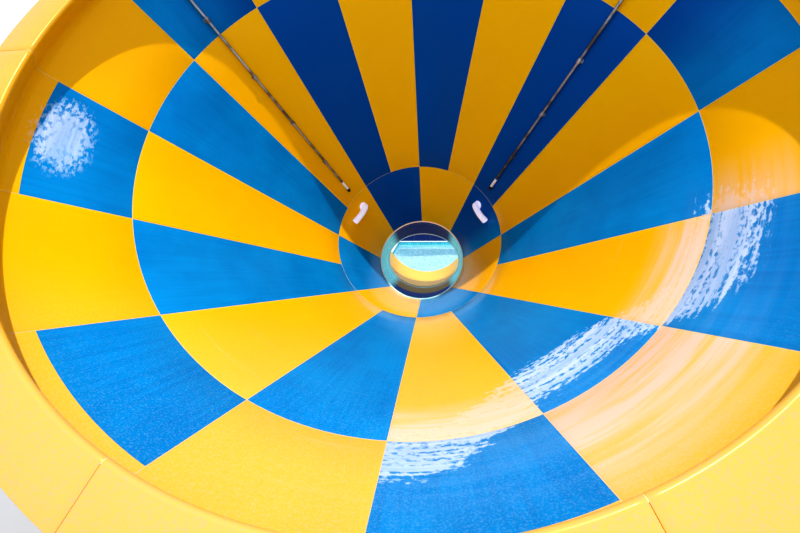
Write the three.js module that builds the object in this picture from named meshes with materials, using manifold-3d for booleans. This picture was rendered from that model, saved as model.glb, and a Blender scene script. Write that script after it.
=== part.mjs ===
// Water slide funnel: a big cone of moulded fibreglass panels lying on its side, with its mouth
// towards -Y, an exit tunnel, a run-out trough, a catch basin, spray pipes and steel columns.
// Millimetres, +Z up, origin on the ground under the middle of the whole plant.

import * as THREE from 'three';
import { mergeVertices } from 'three/addons/utils/BufferGeometryUtils.js';
import Module from 'manifold-3d';

const wasm = await Module();
wasm.setup();

// Cone: stations are measured along its axis, from the mouth circle towards the exit
const mouthRadius = 9000;
const coneTaper = 0.4714;
const outerRingStation = 2106;
const middleRingStation = 10552;
const exitStation = 14022;
const axisTilt = THREE.MathUtils.degToRad(32);
const mouthHeight = 11500;

// Curled lip and flat flange in front of the mouth circle
const curlStation = -400;
const curlFillet = 260;
const flangeStation = -1000;
const flangeInnerRadius = 8650;
const flangeOuterRadius = 9675;
const flangeFillet = 70;
const flangeThickness = 40;
const curlSteps = 4;
const backCurlSteps = 3;
const flangeSteps = 2;

// Panels and their bolting ribs
const sectorCount = 16;
const sectorAngle = (2 * Math.PI) / sectorCount;
const skin = 30;
const ribDepth = 120;
const ribThickness = 20;
const arcSteps = 4;

// Gap between neighbours, and how far cutting bodies run past what they cut
const fitGap = 0.3;
const overrun = 500;
const weldDistance = 1e-3;

// Exit ring, tunnel, end ring and trough, in the vertical plane of the axis
const exitRingLength = 260;
const exitRingDepth = 210;
const exitRingLip = 60;
const tunnelEnd = { y: 14700, halfWidth: 2350, halfHeight: 1840, centre: 3260 };
const tunnelWall = 40;
const endRingLength = 240;
const endRingDepth = 200;
const roundSteps = 32;
const troughEnd = { y: 20000, radius: 3250, bottom: 1160, top: 2950 };
const troughWall = 40;
const troughStartTop = 3300;
const troughSteps = 14;
const troughHeadroom = 2000;

// Catch basin, with a splash wall along its far end
const basinStart = 19650;
const basinLength = 12600;
const basinHalfWidth = 3900;
const basinWall = 300;
const basinFloor = 250;
const basinHeight = 1450;
const copingHeight = 100;
const copingOverhang = 60;
const splashWall = { height: 900, setback: 220, thickness: 80 };
const splashPosts = { count: 5, spacing: 1800, width: 100, depth: 120, height: 700 };

// Spray pipes and nozzles; heights are square to the wall, towards the inside
const pipeAzimuth = THREE.MathUtils.degToRad(58);
const pipeRadius = 55;
const pipeStandOff = 110;
const pipeStations = [-120, 9900];
const clampStations = [1575, 3710, 5840, 8020];
const clampLength = 170;
const clampRadius = 80;
const postRadius = 33;
const seatDepth = 40;
const pipeSides = 10;
const postSides = 6;
const nozzlePath = [
  { station: 11250, azimuth: 57, height: -20 },
  { station: 11250, azimuth: 57, height: 210 },
  { station: 11215, azimuth: 65.5, height: 335 },
  { station: 11160, azimuth: 74, height: 235 },
];
const nozzleRadius = 155;
const nozzlePlate = { radius: 232.5, low: -30, high: 60, sides: 12 };
const nozzleSteps = 10;
const nozzleCurveSegments = 6;

// Columns
const columnSides = 12;
const footSize = 900;
const footThickness = 40;
const bracketThickness = 40;
const bracketLength = 1100;
const bracketInset = 8;
const bracketReach = 1.3;
const columnClearance = 40;
const envelope = { radius: 100, low: -700, beyondExit: 200, steps: 56 };

// Stand under the end of the tunnel
const stand = {
  setback: 40, depth: 160, halfWidth: 2000, beamBottom: 700, beamTop: 1700,
  legSpread: 1500, legHalf: 120, legTop: 1000, footHalf: 300, footReach: 220,
};

const standardMaterial = (color, roughness, metalness) =>
  new THREE.MeshStandardMaterial({ color, roughness, metalness });
const yellow = standardMaterial(0xffc400, 0.25, 0);
const blue = standardMaterial(0x0a6fd8, 0.25, 0);
const darkBlue = standardMaterial(0x0b2f86, 0.3, 0);
const cream = standardMaterial(0xeccfa0, 0.35, 0);
const white = standardMaterial(0xf2f2ee, 0.35, 0);
const poolBlue = standardMaterial(0x35b9c8, 0.45, 0);
const pipeGrey = standardMaterial(0x8a8078, 0.4, 0.8);
const paintedSteel = standardMaterial(0xd9dde0, 0.45, 0.1);

const funnel = new THREE.Matrix4()
  .makeRotationX(-axisTilt)
  .setPosition(0, 0, mouthHeight);

const coneRadius = (station) => mouthRadius - coneTaper * station;
const skinAcross = skin * Math.hypot(1, coneTaper);

// A spot in the cone's frame: azimuth runs clockwise from the top, as seen from the mouth
function coneSpot(radius, station, azimuth, offset = 0) {
  const sine = Math.sin(azimuth);
  const cosine = Math.cos(azimuth);
  return new THREE.Vector3(radius * sine + offset * cosine, station, radius * cosine - offset * sine);
}

// Closed mesh from points and triangles, turned so that its faces point out
function closedGeometry(points, faces) {
  let volume = 0;
  for (const [a, b, c] of faces) {
    volume += points[a].dot(points[b].clone().cross(points[c]));
  }
  const ordered = volume > 0 ? faces : faces.map(([a, b, c]) => [a, c, b]);
  const geometry = new THREE.BufferGeometry().setFromPoints(points);
  geometry.setIndex(ordered.flat());
  return geometry;
}

// Triangles that fill a flat closed outline, wound the way the outline runs
function fillOutline(outline) {
  const forward = Math.sign(THREE.ShapeUtils.area(outline));
  return THREE.ShapeUtils.triangulateShape(outline, []).map(([a, b, c]) => {
    const turn = THREE.ShapeUtils.area([outline[a], outline[b], outline[c]]);
    return Math.sign(turn) === forward ? [a, b, c] : [a, c, b];
  });
}

// Sweep of a closed [radius, station] outline round the cone's axis between two edges
function sweepOutline(outline, from, to, steps) {
  const size = outline.length;
  const points = [];
  const faces = [];
  const offsets = new Map([[0, from.offset], [steps, to.offset]]);
  for (let step = 0; step <= steps; step++) {
    const azimuth = from.azimuth + ((to.azimuth - from.azimuth) * step) / steps;
    const offset = offsets.get(step) ?? 0;
    outline.forEach(([radius, station]) => points.push(coneSpot(radius, station, azimuth, offset)));
  }
  for (let step = 0; step < steps; step++) {
    for (let i = 0; i < size; i++) {
      const near = step * size;
      const far = near + size;
      const next = (i + 1) % size;
      faces.push([near + i, near + next, far + next], [near + i, far + next, far + i]);
    }
  }
  const flat = outline.map(([radius, station]) => new THREE.Vector2(radius, station));
  for (const [a, b, c] of fillOutline(flat)) {
    faces.push([a, c, b], [steps * size + a, steps * size + b, steps * size + c]);
  }
  return closedGeometry(points, faces);
}

// Body between rings of points; each ring is a closed loop and the first and last are filled
function loftRings(rings, capTriangles) {
  const size = rings[0].length;
  const faces = [];
  for (let ring = 0; ring < rings.length - 1; ring++) {
    for (let i = 0; i < size; i++) {
      const near = ring * size;
      const far = near + size;
      const next = (i + 1) % size;
      faces.push([near + i, near + next, far + next], [near + i, far + next, far + i]);
    }
  }
  const last = (rings.length - 1) * size;
  for (const [a, b, c] of capTriangles) {
    faces.push([a, c, b], [last + a, last + b, last + c]);
  }
  return closedGeometry(rings.flat(), faces);
}

// Hollow tube: inner and outer loops at each end
function loftTube(innerRings, outerRings) {
  const size = innerRings[0].length;
  const loops = [...innerRings, ...[...outerRings].reverse()];
  const faces = [];
  for (let loop = 0; loop < loops.length; loop++) {
    for (let i = 0; i < size; i++) {
      const near = loop * size;
      const far = ((loop + 1) % loops.length) * size;
      const next = (i + 1) % size;
      faces.push([near + i, near + next, far + next], [near + i, far + next, far + i]);
    }
  }
  return closedGeometry(loops.flat(), faces);
}

function solidOf(geometry, matrix = new THREE.Matrix4()) {
  const bare = geometry.clone().applyMatrix4(matrix);
  for (const name of Object.keys(bare.attributes)) {
    if (name !== 'position') bare.deleteAttribute(name);
  }
  const merged = mergeVertices(bare, weldDistance);
  return new wasm.Manifold(new wasm.Mesh({
    numProp: 3,
    vertProperties: new Float32Array(merged.attributes.position.array),
    triVerts: new Uint32Array(merged.index.array),
  }));
}

function geometryOf(solid) {
  const mesh = solid.getMesh();
  const geometry = new THREE.BufferGeometry();
  geometry.setAttribute('position', new THREE.BufferAttribute(mesh.vertProperties, 3));
  geometry.setIndex(new THREE.BufferAttribute(mesh.triVerts, 1));
  return geometry;
}

const joined = (first, ...others) => others.reduce((sum, solid) => sum.add(solid), first);

function boxSolid(low, high) {
  const size = high.map((value, axis) => value - low[axis]);
  const geometry = new THREE.BoxGeometry(...size);
  geometry.translate(...low.map((value, axis) => value + size[axis] / 2));
  return solidOf(geometry);
}

function mirrored(geometry) {
  const copy = geometry.clone().applyMatrix4(new THREE.Matrix4().makeScale(-1, 1, 1));
  const index = Array.from(copy.index.array);
  for (let i = 0; i < index.length; i += 3) {
    [index[i + 1], index[i + 2]] = [index[i + 2], index[i + 1]];
  }
  copy.setIndex(index);
  return copy;
}

// Points of a fillet at a corner of a flat outline
function filletCorner(before, corner, after, radius, steps) {
  const at = new THREE.Vector2(...corner);
  const back = new THREE.Vector2(...before).sub(at).normalize();
  const ahead = new THREE.Vector2(...after).sub(at).normalize();
  const half = Math.acos(back.dot(ahead)) / 2;
  const middle = back.clone().add(ahead).normalize();
  const centre = at.clone().addScaledVector(middle, radius / Math.sin(half));
  const start = at.clone().addScaledVector(back, radius / Math.tan(half)).sub(centre);
  const end = at.clone().addScaledVector(ahead, radius / Math.tan(half)).sub(centre);
  const turn = Math.atan2(start.cross(end), start.dot(end));
  const points = [];
  for (let step = 0; step <= steps; step++) {
    const spot = start.clone().rotateAround(new THREE.Vector2(), (turn * step) / steps).add(centre);
    points.push([spot.x, spot.y]);
  }
  return points;
}

const plant = new THREE.Group();
const cone = new THREE.Group();
cone.rotation.x = -axisTilt;
cone.position.z = mouthHeight;
plant.add(cone);

function addPiece(parent, name, geometry, material) {
  const piece = new THREE.Mesh(geometry, material);
  piece.name = name;
  parent.add(piece);
}

// Channel outline of a panel between two stations, with a rib at each end; the floor of the
// channel comes last, so that the long edge ribs can fill it
function channelOutline(low, high) {
  const lowEdge = low + fitGap;
  const highEdge = high - fitGap;
  const inner = (station) => [coneRadius(station), station];
  const floor = (station) => [coneRadius(station) + skinAcross, station];
  const lowRib = coneRadius(low) + skinAcross + ribDepth;
  const highRib = coneRadius(high) + skinAcross + ribDepth;
  return {
    rim: [
      [lowRib, lowEdge + ribThickness],
      [lowRib, lowEdge],
      inner(lowEdge),
      inner(highEdge),
      [highRib, highEdge],
      [highRib, highEdge - ribThickness],
    ],
    floor: [floor(highEdge - ribThickness), floor(lowEdge + ribThickness)],
  };
}

// Outline of the outer panels: cone, curled lip and flat flange in one moulding
function lipOutline() {
  const high = outerRingStation - fitGap;
  const low = high - ribThickness;
  const start = [coneRadius(high), high];
  const curl = [coneRadius(curlStation), curlStation];
  const toe = [flangeInnerRadius, flangeStation];
  const brim = [flangeOuterRadius, flangeStation];
  const lipSlope = (curl[0] - toe[0]) / (curl[1] - toe[1]);
  const lipAcross = skin * Math.hypot(1, lipSlope);
  const backLip = (station) => toe[0] + lipAcross + (station - flangeStation) * lipSlope;
  const meetStation = (mouthRadius + skinAcross - backLip(0)) / (lipSlope + coneTaper);
  const backCurl = [backLip(meetStation), meetStation];
  const flangeBack = flangeStation + flangeThickness;
  const backToe = [backLip(flangeBack), flangeBack];
  const deep = skinAcross + ribDepth;
  return {
    rim: [
      [coneRadius(high) + deep, low],
      [coneRadius(high) + deep, high],
      start,
      ...filletCorner(start, curl, toe, curlFillet, curlSteps),
      ...filletCorner(curl, toe, brim, flangeFillet, flangeSteps),
      brim,
      [flangeOuterRadius, flangeBack],
    ],
    floor: [
      backToe,
      ...filletCorner(backToe, backCurl, [mouthRadius + skinAcross, 0], curlFillet, backCurlSteps),
      [coneRadius(low) + skinAcross, low],
    ],
  };
}

// Panel between two seams: a channel swept round the axis, filled to full depth at both edges
function panel({ rim, floor }, firstSeam, seamSpan) {
  const from = firstSeam * sectorAngle;
  const to = (firstSeam + seamSpan) * sectorAngle;
  const inset = fitGap + ribThickness;
  const steps = seamSpan * arcSteps;
  const spots = [{ azimuth: from, offset: fitGap }, { azimuth: from, offset: inset }];
  for (let step = 1; step < steps; step++) {
    spots.push({ azimuth: from + ((to - from) * step) / steps, offset: 0 });
  }
  spots.push({ azimuth: to, offset: -inset }, { azimuth: to, offset: -fitGap });

  const size = rim.length + floor.length;
  const points = spots.flatMap(({ azimuth, offset }) => [...rim, ...floor].map(
    ([radius, station]) => coneSpot(radius, station, azimuth, offset)));
  const faces = [];
  const last = spots.length - 1;
  for (let spot = 0; spot < last; spot++) {
    const count = spot === 0 || spot === last - 1 ? rim.length : size;
    for (let i = 0; i < count; i++) {
      const next = (i + 1) % count;
      const near = spot * size;
      const far = near + size;
      faces.push([near + i, near + next, far + next], [near + i, far + next, far + i]);
    }
  }
  const flat = (list) => list.map(([radius, station]) => new THREE.Vector2(radius, station));
  for (const [a, b, c] of fillOutline(flat(rim))) {
    faces.push([a, c, b], [last * size + a, last * size + b, last * size + c]);
  }
  const channel = [rim.length - 1, ...floor.map((_, i) => rim.length + i), 0];
  for (const corner of fillOutline(flat([rim.at(-1), ...floor, rim[0]]))) {
    const [a, b, c] = corner.map((i) => channel[i]);
    const far = (last - 1) * size;
    faces.push([size + a, size + c, size + b], [far + a, far + b, far + c]);
  }
  return closedGeometry(points, faces);
}

function addPanels() {
  const middle = [outerRingStation, middleRingStation];
  const inner = [middleRingStation, exitStation];
  for (let seam = 0; seam < sectorCount; seam++) {
    const even = seam % 2 === 0;
    addPiece(cone, `outer_panel_${seam + 1}`,
      panel(lipOutline(), seam, 1), yellow);
    addPiece(cone, `middle_panel_${seam + 1}`,
      panel(channelOutline(...middle), seam, 1), even ? blue : yellow);
    if (even) {
      addPiece(cone, `inner_panel_${seam / 2 + 1}`,
        panel(channelOutline(...inner), seam, 2), seam % 4 === 0 ? yellow : blue);
    }
  }
}

// Loop round the cone's axis, in the plant's frame
function coneLoop(radius, station) {
  const loop = [];
  for (let i = 0; i < roundSteps; i++) {
    loop.push(coneSpot(radius, station, (i / roundSteps) * 2 * Math.PI).applyMatrix4(funnel));
  }
  return loop;
}

// Loop of the tunnel's far end, grown by a margin, in an upright plane
function tunnelLoop(margin, y) {
  const loop = [];
  for (let i = 0; i < roundSteps; i++) {
    const azimuth = (i / roundSteps) * 2 * Math.PI;
    const x = (tunnelEnd.halfWidth + margin) * Math.sin(azimuth);
    const z = tunnelEnd.centre + (tunnelEnd.halfHeight + margin) * Math.cos(azimuth);
    loop.push(new THREE.Vector3(x, y, z));
  }
  return loop;
}

const exitRadius = coneRadius(exitStation);
const ringStart = exitStation + fitGap;
const ringEnd = exitStation + exitRingLength;

function addExit() {
  const ringRadius = exitRadius - exitRingLip;
  const ring = loftTube(
    [coneLoop(ringRadius, ringStart), coneLoop(ringRadius, ringEnd)],
    [coneLoop(exitRadius + exitRingDepth, ringStart), coneLoop(exitRadius + exitRingDepth, ringEnd)]);
  addPiece(plant, 'exit_ring', ring, cream);

  const start = ringEnd + fitGap;
  const tunnel = loftTube(
    [coneLoop(exitRadius, start), tunnelLoop(0, tunnelEnd.y)],
    [coneLoop(exitRadius + tunnelWall, start), tunnelLoop(tunnelWall, tunnelEnd.y)]);
  addPiece(plant, 'exit_tunnel', tunnel, darkBlue);

  const near = tunnelEnd.y + fitGap;
  const far = near + endRingLength;
  const endRing = loftTube(
    [tunnelLoop(-exitRingLip, near), tunnelLoop(-exitRingLip, far)],
    [tunnelLoop(endRingDepth, near), tunnelLoop(endRingDepth, far)]);
  addPiece(plant, 'tunnel_end_ring', endRing, cream);
}

// Section of the trough at a share of its length: inner or outer side, from left edge to right
function troughSection(share, y, margin, top) {
  const points = [];
  const startTop = troughStartTop - tunnelEnd.centre;
  const startSweep = Math.PI / 2 + Math.asin(startTop / tunnelEnd.halfHeight);
  const endSweep = Math.acos(1 - (top - troughEnd.bottom) / troughEnd.radius);
  for (let i = 0; i <= troughSteps; i++) {
    const across = (2 * i) / troughSteps - 1;
    const startAngle = across * startSweep;
    const endAngle = across * endSweep;
    const startX = (tunnelEnd.halfWidth + margin) * Math.sin(startAngle);
    const startZ = tunnelEnd.centre - (tunnelEnd.halfHeight + margin) * Math.cos(startAngle);
    const endX = (troughEnd.radius + margin) * Math.sin(endAngle);
    const endZ = troughEnd.bottom + troughEnd.radius - (troughEnd.radius + margin) * Math.cos(endAngle);
    points.push(new THREE.Vector3(
      THREE.MathUtils.lerp(startX, endX, share), y, THREE.MathUtils.lerp(startZ, endZ, share)));
  }
  return points;
}

const troughStart = tunnelEnd.y + fitGap + endRingLength + fitGap;
const troughShare = (y) => (y - troughStart) / (troughEnd.y - troughStart);

function addTrough() {
  const rings = [0, 0.5, 1].map((share) => {
    const y = THREE.MathUtils.lerp(troughStart, troughEnd.y, share);
    const inner = troughSection(share, y, 0, troughEnd.top);
    const outer = troughSection(share, y, troughWall, troughEnd.top);
    return [...inner, ...outer.reverse()];
  });
  const side = troughSteps + 1;
  const caps = [];
  for (let i = 0; i < troughSteps; i++) {
    const opposite = 2 * side - 1 - i;
    caps.push([i, i + 1, opposite], [i + 1, opposite - 1, opposite]);
  }
  addPiece(plant, 'runout_trough', loftRings(rings, caps), yellow);
}

// Filled body that follows the trough's underside, used to cut its seat in the basin
function troughSeatCutter() {
  const middle = (troughStart + troughEnd.y) / 2;
  const rings = [middle, troughEnd.y, troughEnd.y + overrun].map((y) => {
    const under = troughSection(troughShare(y), y, troughWall + fitGap, troughEnd.top);
    const right = under[troughSteps].clone().setZ(under[troughSteps].z + troughHeadroom);
    const left = under[0].clone().setZ(under[0].z + troughHeadroom);
    return [...under.reverse(), left, right];
  });
  const flat = rings[0].map((point) => new THREE.Vector2(point.x, point.z));
  return solidOf(loftRings(rings, fillOutline(flat)));
}

function addBasin() {
  const end = basinStart + basinLength;
  const inside = boxSolid(
    [-basinHalfWidth + basinWall, basinStart + basinWall, basinFloor],
    [basinHalfWidth - basinWall, end - basinWall, basinHeight + overrun]);
  const cutter = troughSeatCutter();
  const shell = boxSolid([-basinHalfWidth, basinStart, 0], [basinHalfWidth, end, basinHeight])
    .subtract(inside)
    .subtract(cutter);
  addPiece(plant, 'basin_shell', geometryOf(shell), poolBlue);

  const under = basinHeight + fitGap;
  const over = copingOverhang;
  const slab = boxSolid(
    [-basinHalfWidth - over, basinStart - over, under],
    [basinHalfWidth + over, end + over, under + copingHeight]);
  const hole = boxSolid(
    [-basinHalfWidth + basinWall + over, basinStart + basinWall + over, under - overrun],
    [basinHalfWidth - basinWall - over, end - basinWall - over, under + overrun]);
  addPiece(plant, 'basin_coping', geometryOf(slab.subtract(hole).subtract(cutter)), white);
}

// Upright sheet on the far coping, with posts behind it
function addSplashWall() {
  const bottom = basinHeight + fitGap + copingHeight + fitGap;
  const near = basinStart + basinLength - splashWall.setback;
  const far = near + splashWall.thickness;
  const top = bottom + splashWall.height;
  const parts = [boxSolid([-basinHalfWidth, near, bottom], [basinHalfWidth, far, top])];
  const half = splashPosts.width / 2;
  for (let i = 0; i < splashPosts.count; i++) {
    const x = (i - (splashPosts.count - 1) / 2) * splashPosts.spacing;
    parts.push(boxSolid([x - half, near, bottom],
      [x + half, far + splashPosts.depth, bottom + splashPosts.height]));
  }
  addPiece(plant, 'basin_splash_wall', geometryOf(joined(...parts)), darkBlue);
}

// Cylinder between two points
function rodGeometry(start, end, radius, sides) {
  const rod = new THREE.CylinderGeometry(radius, radius, start.distanceTo(end), sides);
  const turn = new THREE.Quaternion().setFromUnitVectors(
    new THREE.Vector3(0, 1, 0), end.clone().sub(start).normalize());
  rod.applyQuaternion(turn);
  const middle = start.clone().add(end).multiplyScalar(0.5);
  return rod.translate(middle.x, middle.y, middle.z);
}

// Unit vector from the wall towards the inside of the cone
function wallInward(azimuth) {
  const scale = 1 / Math.hypot(1, coneTaper);
  return new THREE.Vector3(-Math.sin(azimuth), -coneTaper, -Math.cos(azimuth)).multiplyScalar(scale);
}

// Body of the wall between two seams, a fit gap in from its inner face, to seat what stands on it
function wallCutter(firstSeam, seamSpan, low, high) {
  const face = (station) => coneRadius(station) - 2 * fitGap;
  const outline = [
    [face(low), low],
    [face(high), high],
    [face(high) + overrun, high],
    [face(low) + overrun, low],
  ];
  return solidOf(sweepOutline(outline,
    { azimuth: firstSeam * sectorAngle, offset: 0 },
    { azimuth: (firstSeam + seamSpan) * sectorAngle, offset: 0 }, seamSpan * arcSteps));
}

// Spot above the wall's inner face
function aboveWall(station, azimuth, height) {
  return coneSpot(coneRadius(station), station, azimuth).addScaledVector(wallInward(azimuth), height);
}

function sprayPipe() {
  const off = (station, height = pipeStandOff) => aboveWall(station, pipeAzimuth, height);
  const collar = (station) => rodGeometry(
    off(station - clampLength / 2), off(station + clampLength / 2), clampRadius, pipeSides);
  const [first, last] = pipeStations;
  const parts = [rodGeometry(off(first), off(last), pipeRadius, pipeSides)];
  for (const station of clampStations) {
    parts.push(collar(station));
    parts.push(rodGeometry(off(station, -seatDepth), off(station), postRadius, postSides));
  }
  parts.push(rodGeometry(off(first), off(first, -seatDepth), pipeRadius, pipeSides));
  parts.push(collar(first));
  parts.push(collar(last));
  const seat = wallCutter(2, 1, -overrun, exitStation);
  return geometryOf(joined(...parts.map((part) => solidOf(part))).subtract(seat));
}

function nozzle() {
  const spots = nozzlePath.map(({ station, azimuth, height }) => aboveWall(
    station, THREE.MathUtils.degToRad(azimuth), height));
  const path = new THREE.CatmullRomCurve3(spots);
  const section = new THREE.Shape();
  section.absarc(0, 0, nozzleRadius, 0, 2 * Math.PI);
  const bend = new THREE.ExtrudeGeometry(section, {
    steps: nozzleSteps, curveSegments: nozzleCurveSegments, extrudePath: path,
  });
  const root = nozzlePath[0];
  const rootAzimuth = THREE.MathUtils.degToRad(root.azimuth);
  const plate = rodGeometry(
    aboveWall(root.station, rootAzimuth, nozzlePlate.low),
    aboveWall(root.station, rootAzimuth, nozzlePlate.high), nozzlePlate.radius, nozzlePlate.sides);
  const seat = wallCutter(2, 2, middleRingStation, exitStation);
  return geometryOf(joined(solidOf(bend), solidOf(plate)).subtract(seat));
}

function addSprayGear() {
  const pipe = sprayPipe();
  addPiece(cone, 'spray_pipe_right', pipe, pipeGrey);
  addPiece(cone, 'spray_pipe_left', mirrored(pipe), pipeGrey);
  const jet = nozzle();
  addPiece(cone, 'nozzle_right', jet, white);
  addPiece(cone, 'nozzle_left', mirrored(jet), white);
}

// Room round the cone that the columns keep out of
function coneEnvelope() {
  const { radius, low, beyondExit, steps } = envelope;
  const high = exitStation + beyondExit;
  const grown = skinAcross + ribDepth + columnClearance;
  const outline = [
    [radius, low],
    [coneRadius(low) + grown, low],
    [coneRadius(high) + grown, high],
    [radius, high],
  ];
  const from = { azimuth: sectorAngle, offset: 0 };
  const to = { azimuth: 2 * Math.PI - sectorAngle, offset: 0 };
  return solidOf(sweepOutline(outline, from, to, steps), funnel);
}

// Column on the right: a tube on a foot plate, and a bracket bolted to a seam of the cone
function column({ seam, station, out, radius }) {
  const azimuth = seam * sectorAngle;
  const plateFace = 2 * fitGap + ribThickness;
  const reach = out + radius * bracketReach;
  const low = station - bracketLength / 2;
  const high = station + bracketLength / 2;
  const inner = skinAcross + bracketInset;
  const outline = [
    [coneRadius(low) + inner, low],
    [coneRadius(high) + inner, high],
    [coneRadius(station) + reach, station + radius],
    [coneRadius(station) + reach, station - radius],
  ];
  const bracket = solidOf(sweepOutline(outline,
    { azimuth, offset: plateFace }, { azimuth, offset: plateFace + bracketThickness }, 1), funnel);
  const head = coneSpot(coneRadius(station) + out, station, azimuth, plateFace).applyMatrix4(funnel);
  const half = footSize / 2;
  const foot = boxSolid(
    [head.x - half, head.y - half, 0], [head.x + half, head.y + half, footThickness]);
  const base = new THREE.Vector3(head.x, head.y, footThickness / 2);
  const top = new THREE.Vector3(head.x, head.y, head.z + radius);
  const tube = solidOf(rodGeometry(base, top, radius, columnSides)).subtract(coneEnvelope());
  return geometryOf(joined(tube, foot, bracket));
}

function addColumns() {
  const places = {
    mouth_column: { seam: 4, station: 1100, out: 650, radius: 260 },
    lip_column: { seam: 7, station: 700, out: 650, radius: 230 },
    middle_column: { seam: 6, station: 6300, out: 600, radius: 230 },
    rear_column: { seam: 6, station: 12300, out: 560, radius: 180 },
  };
  for (const [name, place] of Object.entries(places)) {
    const right = column(place);
    addPiece(plant, `${name}_right`, right, paintedSteel);
    addPiece(plant, `${name}_left`, mirrored(right), paintedSteel);
  }
}

// Stand under the tunnel's end ring: two legs, a cross beam with a round seat, and a foot plate
function addTunnelStand() {
  const near = tunnelEnd.y + stand.setback;
  const far = near + stand.depth;
  const beam = boxSolid(
    [-stand.halfWidth, near, stand.beamBottom], [stand.halfWidth, far, stand.beamTop]);
  const parts = [beam];
  for (const side of [-1, 1]) {
    const x = side * stand.legSpread;
    parts.push(boxSolid([x - stand.legHalf, near, 0], [x + stand.legHalf, far, stand.legTop]));
    parts.push(boxSolid([x - stand.footHalf, near - stand.footReach, 0],
      [x + stand.footHalf, far + stand.footReach, footThickness]));
  }
  const margin = endRingDepth + fitGap;
  const caps = fillOutline(
    tunnelLoop(margin, 0).map((point) => new THREE.Vector2(point.x, point.z)));
  const seat = solidOf(loftRings(
    [tunnelLoop(margin, near - overrun), tunnelLoop(margin, far + overrun)], caps));
  addPiece(plant, 'tunnel_stand', geometryOf(joined(...parts).subtract(seat)), paintedSteel);
}

addPanels();
addExit();
addTrough();
addBasin();
addSplashWall();
addSprayGear();
addColumns();
addTunnelStand();

plant.updateMatrixWorld(true);
const extent = new THREE.Box3().setFromObject(plant);
plant.position.y = -(extent.min.y + extent.max.y) / 2;

export default plant;
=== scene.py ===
import math
import random

import bmesh
import bpy
from mathutils import Matrix, Vector


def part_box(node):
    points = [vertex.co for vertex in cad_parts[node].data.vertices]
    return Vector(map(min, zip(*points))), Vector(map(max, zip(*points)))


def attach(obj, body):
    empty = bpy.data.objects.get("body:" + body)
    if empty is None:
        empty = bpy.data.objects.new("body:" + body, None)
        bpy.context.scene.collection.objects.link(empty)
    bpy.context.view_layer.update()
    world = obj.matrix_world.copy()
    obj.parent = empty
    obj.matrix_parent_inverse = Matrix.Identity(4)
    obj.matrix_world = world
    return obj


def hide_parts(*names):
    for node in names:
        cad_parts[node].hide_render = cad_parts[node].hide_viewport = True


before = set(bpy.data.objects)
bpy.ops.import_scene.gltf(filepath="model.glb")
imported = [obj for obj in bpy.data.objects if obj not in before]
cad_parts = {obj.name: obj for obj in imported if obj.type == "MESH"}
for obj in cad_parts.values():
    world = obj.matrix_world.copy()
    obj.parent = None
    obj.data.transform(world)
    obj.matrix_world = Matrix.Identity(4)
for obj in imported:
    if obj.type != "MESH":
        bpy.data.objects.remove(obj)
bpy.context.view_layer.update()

# Water slide funnel, its exit, trough and catch basin. Metres, the mouth faces -Y.
# Every moulded sheet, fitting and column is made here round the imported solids.

funnel = {
    "mouthRadius": 9.0,
    "taper": 0.4714,      # radius lost for each metre along the axis
    "outerRing": 2.106,   # stations of the joint circles, from the mouth circle
    "middleRing": 10.552,
    "exit": 14.022,
    "tilt": math.radians(32),
    "mouthHeight": 11.5,
    "sectors": 16,
    "tunnelEnd": 14.7,    # where the tunnel ends, before the plant is centred
    "fitGap": 0.0003,     # what neighbouring solids keep between them
}
sector = 2 * math.pi / funnel["sectors"]
lean = math.hypot(1, funnel["taper"])
outerJoint, middleJoint, innerJoint = funnel["outerRing"], funnel["middleRing"], funnel["exit"]
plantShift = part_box("tunnel_end_ring")[0].y - funnel["tunnelEnd"] - funnel["fitGap"]
mouthMiddle = Vector((0, plantShift, funnel["mouthHeight"]))
coneFrame = Matrix.Translation(mouthMiddle) @ Matrix.Rotation(-funnel["tilt"], 4, "X")
upward = Vector((0, 0, 1))


def coneRadius(station):
    return funnel["mouthRadius"] - funnel["taper"] * station


def conePoint(radius, station, azimuth, offset=0.0):
    # azimuth runs clockwise from the top, seen from the mouth
    sine, cosine = math.sin(azimuth), math.cos(azimuth)
    spot = Vector((radius * sine + offset * cosine, station, radius * cosine - offset * sine))
    return coneFrame @ spot


def wallPoint(station, azimuth, height):
    # height is square to the wall, towards the inside
    return conePoint(coneRadius(station) - height / lean,
                     station - height * funnel["taper"] / lean, azimuth)


coneAxis = (conePoint(0, 1, 0) - conePoint(0, 0, 0)).normalized()


# Mesh helpers

meshing = {
    "weld": 0.0003,       # points nearer than this become one
    "leastRadius": 0.0005,
    "smallFillet": 0.03,  # fillets below this radius get few steps
    "smallSteps": 3, "filletSteps": 9,
    "bevelAngle": math.radians(35),
}


def newShape():
    return {"points": [], "faces": [], "paint": []}


def addFaces(shape, points, faces, finish=0):
    start = len(shape["points"])
    shape["points"].extend(points)
    shape["faces"].extend(tuple(start + i for i in face) for face in faces)
    shape["paint"].extend([finish] * len(faces))


def loft(shape, rings, finish=0, ring=False):
    # skin over closed loops of equal length; ring joins the last loop to the first
    size = len(rings[0])
    faces = []
    spans = len(rings) if ring else len(rings) - 1
    for near in range(spans):
        far = (near + 1) % len(rings)
        for i in range(size):
            j = (i + 1) % size
            faces.append((near * size + i, near * size + j, far * size + j, far * size + i))
    if not ring:
        faces.append(tuple(range(size)))
        faces.append(tuple((len(rings) - 1) * size + i for i in range(size)))
    addFaces(shape, [p for loop in rings for p in loop], faces, finish)


def sideways(axis):
    # two unit vectors square to the axis
    helper = upward if abs(axis.z) < 0.9 else Vector((0, 1, 0))
    across = axis.cross(helper).normalized()
    return across, axis.cross(across).normalized()


def roundLoop(centre, across, up, radius, sides):
    loop = []
    for i in range(sides):
        angle = 2 * math.pi * i / sides
        loop.append(centre + across * (radius * math.cos(angle)) + up * (radius * math.sin(angle)))
    return loop


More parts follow.
